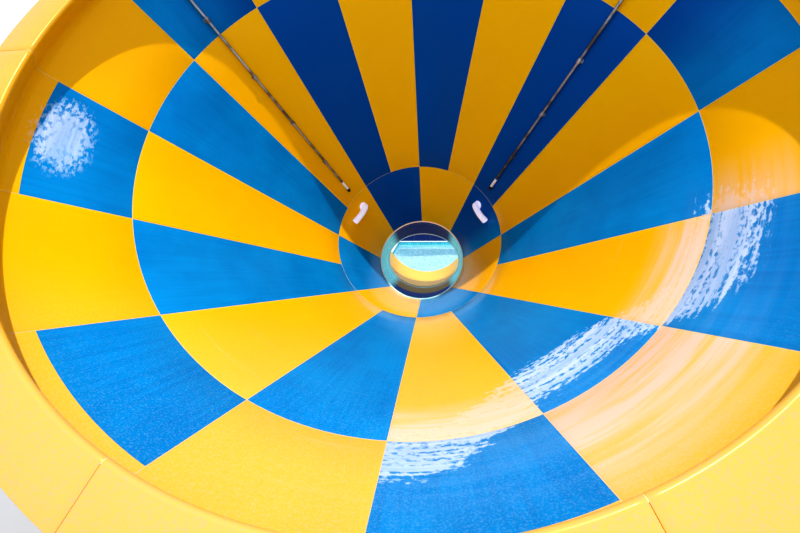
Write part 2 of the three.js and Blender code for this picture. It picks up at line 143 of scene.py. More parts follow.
def turned(shape, start, axis, profile, sides=24, finish=0):
    # lathe work: profile is a list of (radius, distance along the axis)
    axis = axis.normalized()
    across, up = sideways(axis)
    rings = [roundLoop(start + axis * along, across, up, max(radius, meshing["leastRadius"]), sides)
             for radius, along in profile]
    loft(shape, rings, finish)


def ringsAlong(path, radii, sides):
    # round section along a path, its frame carried from point to point
    heading = (path[1] - path[0]).normalized()
    across, up = sideways(heading)
    rings = []
    for i, spot in enumerate(path):
        ahead = (path[min(i + 1, len(path) - 1)] - path[max(i - 1, 0)]).normalized()
        swing = heading.rotation_difference(ahead)
        across, up, heading = swing @ across, swing @ up, ahead
        rings.append(roundLoop(spot, across, up, radii[i], sides))
    return rings


def plate(shape, outline, depth):
    # flat outline pushed along the depth vector
    loft(shape, [outline, [p + depth for p in outline]])


def block(shape, low, high):
    outline = [Vector((x, y, low[2])) for x, y in
               ((low[0], low[1]), (high[0], low[1]), (high[0], high[1]), (low[0], high[1]))]
    plate(shape, outline, upward * (high[2] - low[2]))


def roundedPath(corners):
    # corners are (across, along, fillet radius); the two ends stay sharp
    path = [Vector(corners[0][:2])]
    for before, corner, after in zip(corners, corners[1:], corners[2:]):
        at, radius = Vector(corner[:2]), corner[2]
        if not radius:
            path.append(at)
            continue
        back = (Vector(before[:2]) - at).normalized()
        ahead = (Vector(after[:2]) - at).normalized()
        half = back.angle(ahead) / 2
        middle = at + (back + ahead).normalized() * (radius / math.sin(half))
        start = at + back * (radius / math.tan(half)) - middle
        end = at + ahead * (radius / math.tan(half)) - middle
        steps = meshing["smallSteps"] if radius < meshing["smallFillet"] else meshing["filletSteps"]
        # slerp gives unit vectors
        path.extend(middle + start.slerp(end, i / steps) * radius for i in range(steps + 1))
    path.append(Vector(corners[-1][:2]))
    return path


def dividedPath(path, longest):
    result = [path[0]]
    for spot in path[1:]:
        pieces = max(1, math.ceil((spot - result[-1]).length / longest))
        start = result[-1]
        result.extend(start.lerp(spot, (i + 1) / pieces) for i in range(pieces))
    return result


def backOf(path, i):
    # unit vector square to a profile at its point i, towards the back of the laminate
    run = path[min(i + 1, len(path) - 1)] - path[max(i - 1, 0)]
    return Vector((-run.y, run.x)).normalized()


def placed(name, data):
    thing = bpy.data.objects.new(name, data)
    bpy.context.scene.collection.objects.link(thing)
    return thing


def meshOf(name, shape, finishes):
    mesh = bpy.data.meshes.new(name)
    mesh.from_pydata([tuple(p) for p in shape["points"]], [], shape["faces"])
    for finish in finishes:
        mesh.materials.append(finish)
    mesh.polygons.foreach_set("material_index", shape["paint"])
    return mesh


def makePiece(name, shape, finishes, replaced=(), sheet=0.0, bevel=0.0, sharp=40):
    mesh = meshOf(name, shape, finishes)
    work = bmesh.new()
    work.from_mesh(mesh)
    bmesh.ops.remove_doubles(work, verts=work.verts, dist=meshing["weld"])
    bmesh.ops.dissolve_degenerate(work, edges=work.edges, dist=meshing["weld"])
    if not sheet:
        bmesh.ops.recalc_face_normals(work, faces=work.faces)
    work.to_mesh(mesh)
    work.free()
    piece = placed(name, mesh)
    if sheet:
        # the back and the cut edges take the finishes two further on in the list
        laminate = piece.modifiers.new("laminate", "SOLIDIFY")
        laminate.thickness = sheet
        laminate.offset = -1
        laminate.material_offset = laminate.material_offset_rim = 2
    if bevel:
        edges = piece.modifiers.new("edges", "BEVEL")
        edges.width = bevel
        edges.segments = 2
        edges.limit_method = "ANGLE"
        edges.angle_limit = meshing["bevelAngle"]
    if piece.modifiers:
        graph = bpy.context.evaluated_depsgraph_get()
        finished = bpy.data.meshes.new_from_object(piece.evaluated_get(graph))
        piece.modifiers.clear()
        piece.data = finished
    piece.data.polygons.foreach_set("use_smooth", [True] * len(piece.data.polygons))
    piece.data.set_sharp_from_angle(angle=math.radians(sharp))
    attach(piece, "root")
    if replaced:
        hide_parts(*replaced)
    return piece


# Materials

def linear(code):
    # sRGB hex to linear colour
    channels = [int(code[i:i + 2], 16) / 255 for i in (1, 3, 5)]
    return [c / 12.92 if c <= 0.04045 else ((c + 0.055) / 1.055) ** 2.4 for c in channels] + [1.0]


def setInputs(node, inputs):
    # an input takes a value, a hex colour, a socket, or a node, whose first active output is used
    for key, value in inputs.items():
        if isinstance(value, str):
            value = linear(value)
        if isinstance(value, bpy.types.Node):
            value = next(output for output in value.outputs if output.enabled)
        if isinstance(value, bpy.types.NodeSocket):
            node.id_data.links.new(value, node.inputs[key])
        else:
            node.inputs[key].default_value = value


def addNode(tree, kind, inputs, **settings):
    node = tree.nodes.new("ShaderNode" + kind)
    for key, value in settings.items():
        setattr(node, key, value)
    setInputs(node, inputs)
    return node


def maskOf(tree, *parts):
    # product of masks; a part written (value, low, high) is a smooth ramp from 0 at low to 1 at high
    result = None
    for part in parts:
        if isinstance(part, tuple):
            value, low, high = part
            part = addNode(tree, "MapRange", {"Value": value, "From Min": low, "From Max": high},
                           interpolation_type="SMOOTHSTEP")
        if result:
            part = addNode(tree, "Math", {0: result, 1: part}, operation="MULTIPLY")
        result = part
    return result


def weighted(tree, start, *parts):
    # start plus every mask times its share
    for mask, share in parts:
        start = addNode(tree, "Math", {0: mask, 1: share, 2: start}, operation="MULTIPLY_ADD")
    return start


def layered(tree, colour, *layers):
    # colour under layers of (mask, share of it that shows, colour)
    for mask, share, cover in layers:
        factor = mask if share == 1 else weighted(tree, 0.0, (mask, share))
        colour = addNode(tree, "Mix", {0: factor, 6: colour, 7: cover}, data_type="RGBA")
    return colour


def patchy(tree, where, size, detail, low, high):
    # blotches of so many mm: noise, cut between two levels
    noise = addNode(tree, "TexNoise", {
        "Vector": where, "Scale": 1000 / size, "Detail": detail, "Roughness": 0.6})
    return maskOf(tree, (noise, low, high))


def drawnOut(tree, where, width, height, detail, low, high):
    # runs and streaks down a surface, sizes in mm
    scale = (1000 / width, 1000 / width, 1000 / height)
    return patchy(tree, addNode(tree, "Mapping", {"Vector": where, "Scale": scale}), 1000, detail, low, high)


def startFinish(name, values):
    finish = bpy.data.materials.new(name)
    finish.use_nodes = True
    tree = finish.node_tree
    shader = tree.nodes["Principled BSDF"]
    setInputs(shader, values)
    where = addNode(tree, "TexCoord", {}).outputs["Object"]
    return finish, tree, shader, where


def coneCoordinates(tree, where):
    # the cone's own frame: x across, y station, z up towards the top seam
    inverse = coneFrame.inverted()
    return addNode(tree, "Mapping", {
        "Vector": where, "Location": inverse.to_translation(), "Rotation": inverse.to_euler()})


gelcoat = {
    # colour in the sun, its deeper patches, the crown's colour (painted shade: the colour drawn for where the
    # sun does not reach), the pale cover of scuffs and painted sheen, and the gloss's tint; then how much of
    # the cover shows as painted sheen haze, as painted wet sheen low down, as painted glint flecks and as
    # arcs
    "yellow": {"base": "#F9BA00", "deep": "#F8B500", "crown": "#FBC000", "bloomAndSheen": "#EBC8AE",
               "sheen": "#FFDF9A", "sheenHaze": 1.0, "low": 0.17, "glintFlecks": 0.3, "arcs": 0.22},
    "blue": {"base": "#0090CE", "deep": "#0079B8", "crown": "#0056A2", "bloomAndSheen": "#D4E0F4",
             "sheen": "#7FC0EE", "sheenHaze": 0.05, "low": 0.0, "glintFlecks": 0.1, "arcs": 0.06},
    "palePatchShare": 0.8, "scuffAndSheenShare": 0.88,
    "brimShade": "#B8926A", "brimShadeShare": 0.19,   # painted shade: the brim drawn darker and browner
    "roughness": 0.22, "scuffRoughness": 0.3,
    "waves": 450,         # mm between the print-through waves of a hand-laid mould
    "waveDepth": 0.0016,
    "mottle": 2220,       # mm across the thicker and thinner patches of gelcoat
    "glintFlecks": 34,         # mm, grain of the painted glint flecks and of the brim's painted shade; drawn as coarse as the render needs
    # marks on the wall laid flat: radians round and mm along for one of them, detail, and the levels
    # between which it shows; real scuffs are 1 to 5 mm wide, drawn as coarse as they need to show
    "marks": {
        "streaks": (0.45, 110, 6, 0.38, 0.66),
        "brushed": (0.012, 2600, 4, 0.35, 0.7),
        "speckle": (0.02, 90, 4, 0.4, 0.62),
        "rubbed": (0.5, 240, 4, 0.3, 0.68),
        "arcs": (0.7, 210, 5, 0.6, 0.8),
    },
    # pairs are where something starts and where it is full: radians from the top, or metres
    # painted shade: the crown's colour is centred this far off the top and spreads this far, where the sun
    # does not reach
    "shadeMiddle": 0.2, "shadeReach": (1.35, 0.95),
    "trackStart": (1.8, 1.98), "trackDip": (2.15, 2.5), "trackBack": (2.68, 3.1),
    "trackStation": 1.72, "trackDepth": 1.5, "trackWidth": (1.0, 0.35), "trackLevels": (0.95, 1.4),
    # painted sheen: where the pale haze lies
    "sheenHazeNear": (-0.3, 1.2), "sheenHazeFar": (3.5, 2.4), "sheenHazeStart": (1.74, 2.1),
    # painted wet sheen and painted glints, low down
    "wetSheenHeights": (-4.5, -8.6),
    "arcHeights": (-1.0, -4.0), "arcStations": (9.5, 6.5),
    "palePatch": (-1.74, 0.5), "palePatchReach": (0.15, 0.68), "palePatchLevels": (1.1, 0.45),
    "brimShadeStations": (-0.9, -0.99),
}


def wetGelcoat(name, tone):
    # polyester gelcoat sprayed into a polished mould: a deep glossy colour, scuffed pale along the worn track
    # near the big joint with painted sheen over it, painted wet sheen and glints low down, painted shade at
    # the crown and on the brim
    finish, tree, shader, where = startFinish(name, {
        "IOR": 1.5, "Specular IOR Level": 0.3, "Specular Tint": tone["sheen"]})
    local = coneCoordinates(tree, where)
    axes = addNode(tree, "SeparateXYZ", {"Vector": local})
    station, height = axes.outputs["Y"], axes.outputs["Z"]
    azimuth = addNode(tree, "Math", {0: axes.outputs["X"], 1: height}, operation="ARCTAN2")
    flat = addNode(tree, "CombineXYZ", {"X": azimuth, "Y": station})
    marks = {}
    for mark, (turn, along, detail, low, high) in gelcoat["marks"].items():
        spread = addNode(tree, "Mapping", {"Vector": flat, "Scale": (1 / turn, 1000 / along, 1)})
        marks[mark] = patchy(tree, spread, 1000, detail, low, high)
    grain = patchy(tree, local, gelcoat["glintFlecks"], 3, 0.45, 0.7)

    # the worn track dips inwards at the bottom and comes back
    dip, back = (maskOf(tree, (azimuth, *gelcoat[key])) for key in ("trackDip", "trackBack"))
    dip = addNode(tree, "Math", {0: dip, 1: back}, operation="SUBTRACT")
    track = weighted(tree, gelcoat["trackStation"], (dip, gelcoat["trackDepth"]))
    apart = [addNode(tree, "Math", {0: value, 1: middle}, operation="SUBTRACT")
             for value, middle in ((station, track), (azimuth, gelcoat["shadeMiddle"]))]
    fromTrack, fromShadeMiddle = (addNode(tree, "Math", {0: gap}, operation="ABSOLUTE") for gap in apart)
    band = maskOf(tree, (fromTrack, *gelcoat["trackWidth"]), (azimuth, *gelcoat["trackStart"]))
    # scuffs along the track, partly painted sheen drawn as the same pale marks
    wearAndSheen = weighted(tree, band, (marks["streaks"], 0.5), (marks["speckle"], 0.45))
    scuffsAndSheen = maskOf(tree, (wearAndSheen, *gelcoat["trackLevels"]), weighted(tree, 0.65, (marks["rubbed"], 0.35)))

    # painted sheen: a pale haze along the big joint on the same side; low down a painted wet sheen, with
    # painted glints as flecks
    sheenHaze = maskOf(tree, (station, *gelcoat["sheenHazeNear"]), (station, *gelcoat["sheenHazeFar"]),
                  (azimuth, *gelcoat["sheenHazeStart"]), weighted(tree, 0.25, (marks["rubbed"], 1.0)))
    wetSheenLow = maskOf(tree, (height, *gelcoat["wetSheenHeights"]))
    glintFlecks = maskOf(tree, wetSheenLow, grain)
    arcs = maskOf(tree, marks["arcs"], (height, *gelcoat["arcHeights"]), (station, *gelcoat["arcStations"]))

    # a pale patch beside the mouth
    (patchTurn, patchStation), (turnReach, stationReach) = gelcoat["palePatch"], gelcoat["palePatchReach"]
    patch = addNode(tree, "Mapping", {
        "Vector": flat, "Scale": (1 / turnReach, 1 / stationReach, 1),
        "Location": (-patchTurn / turnReach, -patchStation / stationReach, 0)})
    fromPatch = addNode(tree, "VectorMath", {0: patch, 1: patch}, operation="DOT_PRODUCT")
    palePatch = maskOf(tree, (weighted(tree, fromPatch, (marks["speckle"], 0.6)), *gelcoat["palePatchLevels"]),
                  weighted(tree, 0.5, (marks["rubbed"], 0.5)))

    mottled = patchy(tree, local, gelcoat["mottle"], 6, 0.3, 0.7)
    deeper = weighted(tree, 0.0, (marks["brushed"], 0.35), (mottled, 0.65))
    # painted shade: a deeper crown colour where the sun does not reach, centred a little off the top
    paintedShade = maskOf(tree, (fromShadeMiddle, *gelcoat["shadeReach"]))
    colour = layered(tree, tone["base"], (deeper, 1, tone["deep"]), (paintedShade, 1, tone["crown"]))
    for mask, share in ((arcs, tone["arcs"]), (wetSheenLow, tone["low"]), (glintFlecks, tone["glintFlecks"]),
                        (sheenHaze, tone["sheenHaze"]), (palePatch, gelcoat["palePatchShare"]), (scuffsAndSheen, gelcoat["scuffAndSheenShare"])):
        colour = layered(tree, colour, (mask, share, tone["bloomAndSheen"]))
    # painted shade: the brim drawn darker and browner, grainy
    brimShade = maskOf(tree, (station, *gelcoat["brimShadeStations"]), weighted(tree, 2.0, (grain, 1.0)))
    waves = addNode(tree, "TexNoise", {"Vector": local, "Scale": 1000 / gelcoat["waves"], "Detail": 2})
    setInputs(shader, {
        "Base Color": layered(tree, colour, (brimShade, gelcoat["brimShadeShare"], gelcoat["brimShade"])),
        "Roughness": weighted(tree, gelcoat["roughness"], (scuffsAndSheen, gelcoat["scuffRoughness"])),
        "Normal": addNode(tree, "Bump", {"Height": waves, "Distance": gelcoat["waveDepth"]})})
    return finish


mouldBack = {
    "patches": 1430, "runs": (625, 4545),   # mm
    "grime": "#8A8470", "grimeShare": 0.3,
    "weave": 40, "weaveDepth": 0.003,       # roving weave is 6 mm; drawn at 40 mm so that it shows
}


def rawGelcoat(name, base, deep):
    # back of a moulding: brushed topcoat over woven roving, duller, with runs and grime
    finish, tree, shader, where = startFinish(name, {"IOR": 1.5, "Roughness": 0.48})
    local = coneCoordinates(tree, where)
    weave = addNode(tree, "TexNoise", {"Vector": local, "Scale": 1000 / mouldBack["weave"], "Detail": 3})
    setInputs(shader, {
        "Base Color": layered(
            tree, base, (patchy(tree, local, mouldBack["patches"], 5, 0.35, 0.7), 1, deep),
            (drawnOut(tree, where, *mouldBack["runs"], 6, 0.48, 0.8), mouldBack["grimeShare"],
             mouldBack["grime"])),
        "Normal": addNode(tree, "Bump", {"Height": weave, "Distance": mouldBack["weaveDepth"]})})
    return finish


rimCream = {
    # painted reflection of the basin: the ring's lower part drawn turquoise
    "creamTop": "#F6CDA0", "poolSheen": "#86C8D0", "clouds": "#F4FBFA", "cloudShare": 0.2,
    "cloudSize": 455, "cloudDepth": 0.0015,
    "poolSheenFrom": (5.35, 4.75),   # heights between which the tint comes in
    # painted glow: the ring emits a faint light
    "paintedGlow": "#F6E2CC", "paintedGlowStrength": 0.12,
}


def creamGelcoat():
    # moulded flange gelcoat, cream on top, drawn turquoise lower down as a painted reflection of the basin,
    # with a faint painted glow
    finish, tree, shader, where = startFinish("cream_gelcoat", {
        "IOR": 1.5, "Roughness": 0.22, "Emission Strength": rimCream["paintedGlowStrength"],
        "Emission Color": rimCream["paintedGlow"]})
    height = addNode(tree, "SeparateXYZ", {"Vector": where}).outputs["Z"]
    clouds = patchy(tree, where, rimCream["cloudSize"], 4, 0.3, 0.7)
    setInputs(shader, {
        "Base Color": layered(
            tree, rimCream["creamTop"], (maskOf(tree, (height, *rimCream["poolSheenFrom"])), 1, rimCream["poolSheen"]),
            (clouds, rimCream["cloudShare"], rimCream["clouds"])),
        "Normal": addNode(tree, "Bump", {"Height": clouds, "Distance": rimCream["cloudDepth"]})})
    return finish


lining = {
    # aqua is a painted reflection of the basin on the flanks; floor is a painted shade, the trough's yellow
    # in shade
    "reflectedAqua": ("#52B6C4", "#9ADCE4"), "navy": ("#08489A", "#0E52A4"), "floor": "#B08A50",
    "streaks": (111, 2000),       # mm
    "flank": (1.5, 1.95),         # metres out from the middle
    "shadedFloorFrom": (12.7, 13.0), "shadedFloorBelow": (2.7, 2.3),
    # painted glow of the flanks
    "paintedGlow": 0.35,
}


def tunnelGelcoat():
    # navy lining in shade, drawn turquoise on both flanks as a painted reflection of the basin
    finish, tree, shader, where = startFinish("tunnel_gelcoat", {
        "IOR": 1.5, "Roughness": 0.55, "Specular IOR Level": 0.1})
    axes = addNode(tree, "SeparateXYZ", {"Vector": where})
    fromMiddle = addNode(tree, "Math", {0: axes.outputs["X"]}, operation="ABSOLUTE")
    flank = maskOf(tree, (fromMiddle, *lining["flank"]))
    streaks = drawnOut(tree, where, *lining["streaks"], 4, 0.25, 0.8)
    reflectedAqua, navy = (layered(tree, base, (streaks, 1, pale)) for base, pale in (lining["reflectedAqua"], lining["navy"]))
    # painted shade: the floor's far part drawn brownish, the trough's yellow as it looks in shade
    start, end = lining["shadedFloorFrom"]
    floor = maskOf(tree, (axes.outputs["Y"], plantShift + start, plantShift + end),
                   (axes.outputs["Z"], *lining["shadedFloorBelow"]))
    # painted glow: the flanks emit a faint turquoise light, as if daylight came through the thin laminate
    setInputs(shader, {
        "Base Color": layered(tree, navy, (floor, 1, lining["floor"]), (flank, 1, reflectedAqua)),
        "Emission Strength": weighted(tree, 0.0, (flank, lining["paintedGlow"])),
        "Emission Color": reflectedAqua})
    return finish


fittingSkin = {
    "stains": (333, 1333), "stainShare": 0.5,   # mm
    "peel": 55.6, "peelDepth": 0.0006,          # orange peel is 3 mm; drawn coarser so that it shows
}


def moulded(name, base, stain, rough=0.3, paintedGlow=0.0):
    # injection moulded or spray coated fitting: even colour, faint water stains; glow is a painted glow, the
    # part emitting light as if daylight came through a thin white wall
    finish, tree, shader, where = startFinish(name, {
        "IOR": 1.5, "Roughness": rough, "Emission Strength": paintedGlow, "Emission Color": base})
    stains = drawnOut(tree, where, *fittingSkin["stains"], 5, 0.5, 0.85)
    peel = patchy(tree, where, fittingSkin["peel"], 3, 0.2, 0.8)
    setInputs(shader, {
        "Base Color": layered(tree, base, (stains, fittingSkin["stainShare"], stain)),
        "Normal": addNode(tree, "Bump", {"Height": peel, "Distance": fittingSkin["peelDepth"]})})
    return finish


zinc = {
    "crystals": 25,       # mm; spangle is 10 mm, drawn coarser so that it shows
    "scalePatches": 909, "scale": "#5E4A38", "scaleShare": 0.8, "scaleRoughness": 0.25,
}


def galvanised(name, base, spangle, rough):
    # hot-dip zinc gone brown-grey with water scale, so it is dull with a soft metal sheen
    finish, tree, shader, where = startFinish(name, {"Metallic": 0.85})
    crystals = addNode(tree, "TexVoronoi", {"Vector": where, "Scale": 1000 / zinc["crystals"]})
    waterScale = patchy(tree, where, zinc["scalePatches"], 6, 0.42, 0.6)
    setInputs(shader, {
        "Base Color": layered(tree, base, (crystals, 1, spangle),
                              (waterScale, zinc["scaleShare"], zinc["scale"])),
        "Roughness": weighted(tree, rough, (waterScale, zinc["scaleRoughness"]))})
    return finish


steelCoat = {
    "paint": "#DCE1E4", "roughness": 0.42,
    "runs": (167, 2000), "dirt": "#A9ABA4", "dirtShare": 0.35,   # mm
    "spots": 143, "spotDepth": 0.0015,
    "rust": "#7A3F1C", "rustBelow": (0.55, 0.0), "rustRoughness": 0.4,
}


def paintedSteel():
    # two-pack paint on rolled steel: satin, with rust bleeding near the ground and fine dirt runs
    finish, tree, shader, where = startFinish("painted_steel", {"IOR": 1.5})
    height = addNode(tree, "SeparateXYZ", {"Vector": where}).outputs["Z"]
    spots = patchy(tree, where, steelCoat["spots"], 6, 0.55, 0.68)
    rust = maskOf(tree, spots, (height, *steelCoat["rustBelow"]))
    runs = drawnOut(tree, where, *steelCoat["runs"], 5, 0.5, 0.8)
    setInputs(shader, {
        "Base Color": layered(tree, steelCoat["paint"], (runs, steelCoat["dirtShare"], steelCoat["dirt"]),
                              (rust, 1, steelCoat["rust"])),
        "Roughness": weighted(tree, steelCoat["roughness"], (rust, steelCoat["rustRoughness"])),
        "Normal": addNode(tree, "Bump", {"Height": spots, "Distance": steelCoat["spotDepth"]})})
    return finish


pool = {
    "tile": 250, "joint": 8,      # mm; mosaic tiles are 25 mm, drawn ten times as coarse to show
    "tiles": ("#39B8C6", "#4CC6D2"), "grout": "#BFE7EA",
    "runs": (833, 2500), "stain": "#7FA9A6", "stainShare": 0.4,
    "render": 111, "renderDepth": 0.004,
    # still water over the paint
    "water": ("#8FC6CC", "#7CBCC4"), "patches": 2000, "light": "#D9F6F8", "lightShare": 0.6,
    "wobble": 769, "net": 455, "netWidth": (0.09, 0.0), "ripples": 286, "rippleDepth": 0.012,
}


def poolPaint():
    # turquoise pool paint and mosaic inside, the same paint on rendered concrete outside
    finish, tree, shader, where = startFinish("pool_paint", {"IOR": 1.5, "Roughness": 0.4})
    first, second = pool["tiles"]
    tiles = addNode(tree, "TexBrick", {
        "Vector": where, "Color1": first, "Color2": second, "Mortar": pool["grout"], "Scale": 1.0,
        "Mortar Size": pool["joint"] / 1000, "Brick Width": pool["tile"] / 1000,
        "Row Height": pool["tile"] / 1000}, offset=0.0)
    stains = drawnOut(tree, where, *pool["runs"], 6, 0.45, 0.8)
    rendered = patchy(tree, where, pool["render"], 5, 0.2, 0.8)
    setInputs(shader, {
        "Base Color": layered(tree, tiles, (stains, pool["stainShare"], pool["stain"])),
        "Normal": addNode(tree, "Bump", {"Height": rendered, "Distance": pool["renderDepth"]})})
    return finish


def poolWater():
    # still water over turquoise paint: mirror smooth, with a net of light on the floor below
    finish, tree, shader, where = startFinish("pool_water", {
        "IOR": 1.33, "Roughness": 0.04, "Coat Weight": 0.6, "Coat Roughness": 0.02})
    wobble = addNode(tree, "TexNoise", {"Vector": where, "Scale": 1000 / pool["wobble"], "Detail": 2})
    bentSpace = addNode(tree, "VectorMath", {0: where, 1: wobble.outputs["Color"]}, operation="ADD")
    net = addNode(tree, "TexVoronoi", {"Vector": bentSpace, "Scale": 1000 / pool["net"]},
                  feature="DISTANCE_TO_EDGE")
    ripples = addNode(tree, "TexNoise", {"Vector": where, "Scale": 1000 / pool["ripples"], "Detail": 3})
    clear, deep = pool["water"]
    setInputs(shader, {
        "Base Color": layered(tree, clear, (patchy(tree, where, pool["patches"], 3, 0.3, 0.7), 1, deep),
                              (maskOf(tree, (net, *pool["netWidth"])), pool["lightShare"], pool["light"])),
        "Normal": addNode(tree, "Bump", {"Height": ripples, "Distance": pool["rippleDepth"]})})
    return finish


print("materials")
yellowWet = wetGelcoat("yellow_gelcoat_wet", gelcoat["yellow"])
blueWet = wetGelcoat("blue_gelcoat_wet", gelcoat["blue"])
yellowBack = rawGelcoat("yellow_gelcoat_back", "#E8AC10", "#D89A08")
blueBack = rawGelcoat("blue_gelcoat_back", "#1468C4", "#0C56A8")
tunnelBack = rawGelcoat("dark_blue_gelcoat_back", "#0A2A72", "#06205C")
cream = creamGelcoat()
tunnelBlue = tunnelGelcoat()
whiteCoat = moulded("white_coating", "#FAFAFC", "#D8D2C4")
sealantCream = moulded("polyurethane_sealant", "#E9C688", "#A98C58", 0.6)
# the white elbows carry a painted glow
elbowWhite = moulded("white_pvc", "#EFEBFC", "#D8D2E4", 0.25, 0.22)
rubberBlack = moulded("rubber_cap", "#26241F", "#3A362E", 0.6)
pipeZinc = galvanised("galvanised_pipe", "#C8C8CA", "#A2A1A4", 0.3)
clampZinc = galvanised("galvanised_clamp", "#DCDCDE", "#B8B8BA", 0.34)
boltZinc = galvanised("galvanised_bolt", "#B4B6B6", "#8F9192", 0.32)
steelPaint = paintedSteel()
basinPaint = poolPaint()
waterTop = poolWater()
wallNavy = moulded("navy_gelcoat", "#06205E", "#2A4274", 0.3)


# Panels: shallow trays of laminate, bolted to each other through the flanges on their backs

panels = {
    "laminate": 0.018,
    "flange": 0.153,      # bolting flange, from the wet face to its free edge
    "edge": 0.012,        # rounding of the moulded edges
    "edgeStart": 0.3,     # share of it where the rounding begins
    "gap": 0.002,         # half of a joint
    "arcSteps": 20,
    "longest": 1.3,
    "curl": (-0.4, 0.26),  # station and fillet of the curled lip
    "brim": (-1.0, 8.65, 9.675),   # station, inner and outer radius
    "brimFillet": 0.07,
    "brimReturn": 0.07,
}
tones = {
    "yellow": (yellowWet, yellowBack, "yellow_gelcoat"),
    "blue": (blueWet, blueBack, "blue_gelcoat"),
}


def channelProfile(low, high):
    low, high = low + panels["gap"], high - panels["gap"]
    deep, edge = panels["flange"], panels["edge"]
    return roundedPath([
        (coneRadius(high) + deep, high, 0),
        (coneRadius(high), high, edge),
        (coneRadius(low), low, edge),
        (coneRadius(low) + deep, low, 0)])


def lipProfile():
    high = outerJoint - panels["gap"]
    curl, curlFillet = panels["curl"]
    brim, brimInner, brimOuter = panels["brim"]
    return roundedPath([
        (coneRadius(high) + panels["flange"], high, 0),
        (coneRadius(high), high, panels["edge"]),
        (coneRadius(0), 0, 0),
        (coneRadius(curl), curl, curlFillet),
        (brimInner, brim, panels["brimFillet"]),
        (brimOuter, brim, panels["edge"]),
        (brimOuter, brim + panels["brimReturn"], 0)])


def trayShape(profile, fromAzimuth, toAzimuth, paintedFrom=None):
    # rows follow the profile, columns run round the cone; the outer columns turn back as flanges
    profile = dividedPath(profile, panels["longest"])
    gap, edge = panels["gap"], panels["edge"]
    begun = edge * panels["edgeStart"]
    first, last = profile[0], profile[-1]
    chord = last - first
    steps = round(panels["arcSteps"] * (toAzimuth - fromAzimuth) / sector)
    shape = newShape()
    rows = []
    for i, spot in enumerate(profile):
        back = backOf(profile, i)
        lowered = spot + back * edge
        share = min(max((lowered - first).dot(chord) / chord.length_squared, 0), 1)
        rim = [(first + chord * share, gap), (lowered, gap), (spot + back * begun, gap + begun),
               (spot, gap + edge)]
        row = [conePoint(p.x, p.y, fromAzimuth, offset) for p, offset in rim]
        row += [conePoint(spot.x, spot.y, fromAzimuth + (toAzimuth - fromAzimuth) * j / steps)
                for j in range(1, steps)]
        row += [conePoint(p.x, p.y, toAzimuth, -offset) for p, offset in reversed(rim)]
        rows.append(row)
    width = len(rows[0])
    addFaces(shape, [p for row in rows for p in row], [])
    for i in range(len(rows) - 1):
        middle = (profile[i].y + profile[i + 1].y) / 2
        painted = paintedFrom is not None and middle > paintedFrom
        for j in range(width - 1):
            near, far = i * width + j, (i + 1) * width + j
            shape["faces"].append((near, near + 1, far + 1, far))
            wall = i in (0, len(rows) - 2) or j in (0, width - 2)
            shape["paint"].append(2 if wall else int(painted))
    return shape


def mouldPanel(name, shape, tone, node, inside=None):
    # inside is the finish of the part painted in the other colour
    wet, back, slot = tones[tone]
    return makePiece(name, shape, [wet, inside or wet, back, back, back], [node],
                     sheet=panels["laminate"], sharp=50)


def trimBrim(piece):
    # the thickened corners stay within the brim's true radius
    inverse = coneFrame.inverted()
    for corner in piece.data.vertices:
        spot = inverse @ corner.co
        reach = math.hypot(spot.x, spot.z)
        if reach > panels["brim"][2]:
            shrink = panels["brim"][2] / reach
            corner.co = coneFrame @ Vector((spot.x * shrink, spot.y, spot.z * shrink))


def makePanels():
    for seam in range(funnel["sectors"]):
        start, end = seam * sector, (seam + 1) * sector
        even = seam % 2 == 0
        shape = trayShape(lipProfile(), start, end, None if even else 0.0)
        trimBrim(mouldPanel(f"outer_moulding_{seam + 1}", shape, "yellow", f"outer_panel_{seam + 1}",
                            blueWet))
        shape = trayShape(channelProfile(outerJoint, middleJoint), start, end)
        mouldPanel(f"middle_moulding_{seam + 1}", shape, "blue" if even else "yellow",
                   f"middle_panel_{seam + 1}")
        if even:
            # the short panels round the exit are two sectors wide
            number = seam // 2 + 1
            shape = trayShape(channelProfile(middleJoint, innerJoint), start, end + sector)
            mouldPanel(f"inner_moulding_{number}", shape, "yellow" if seam % 4 == 0 else "blue",
                       f"inner_panel_{number}")


stiffeners = {
    "outer": (0.45, 1.3),
    "middle": (3.1, 4.3, 5.5, 6.7, 7.9, 9.1, 10.0),
    "inner": (11.6, 12.8),
    "width": 0.2, "crown": 0.11, "height": 0.07,
    "shoulder": (0.015, 0.02), "rounding": 0.01,
    "sunk": 0.002,        # how far the feet sink into the laminate
    "setback": 0.085,     # free end, clear of the bolts and brackets at the seam
    "arcSteps": 12,
}


def stiffenerLoop(station, azimuth, offset):
    # hat section laid on the back of the laminate
    outward = Vector((1, funnel["taper"])) / lean
    along = Vector((-funnel["taper"], 1)) / lean
    foot = Vector((coneRadius(station), station)) + outward * (panels["laminate"] - stiffeners["sunk"])
    half, crown, height = stiffeners["width"] / 2, stiffeners["crown"] / 2, stiffeners["height"]
    out, down = stiffeners["shoulder"]
    left = [(half, 0), (crown + out, height - down), (crown - stiffeners["rounding"], height)]
    loop = []
    for across, up in [(-x, z) for x, z in left] + left[::-1]:
        spot = foot + along * across + outward * up
        loop.append(conePoint(spot.x, spot.y, azimuth, offset))
    return loop


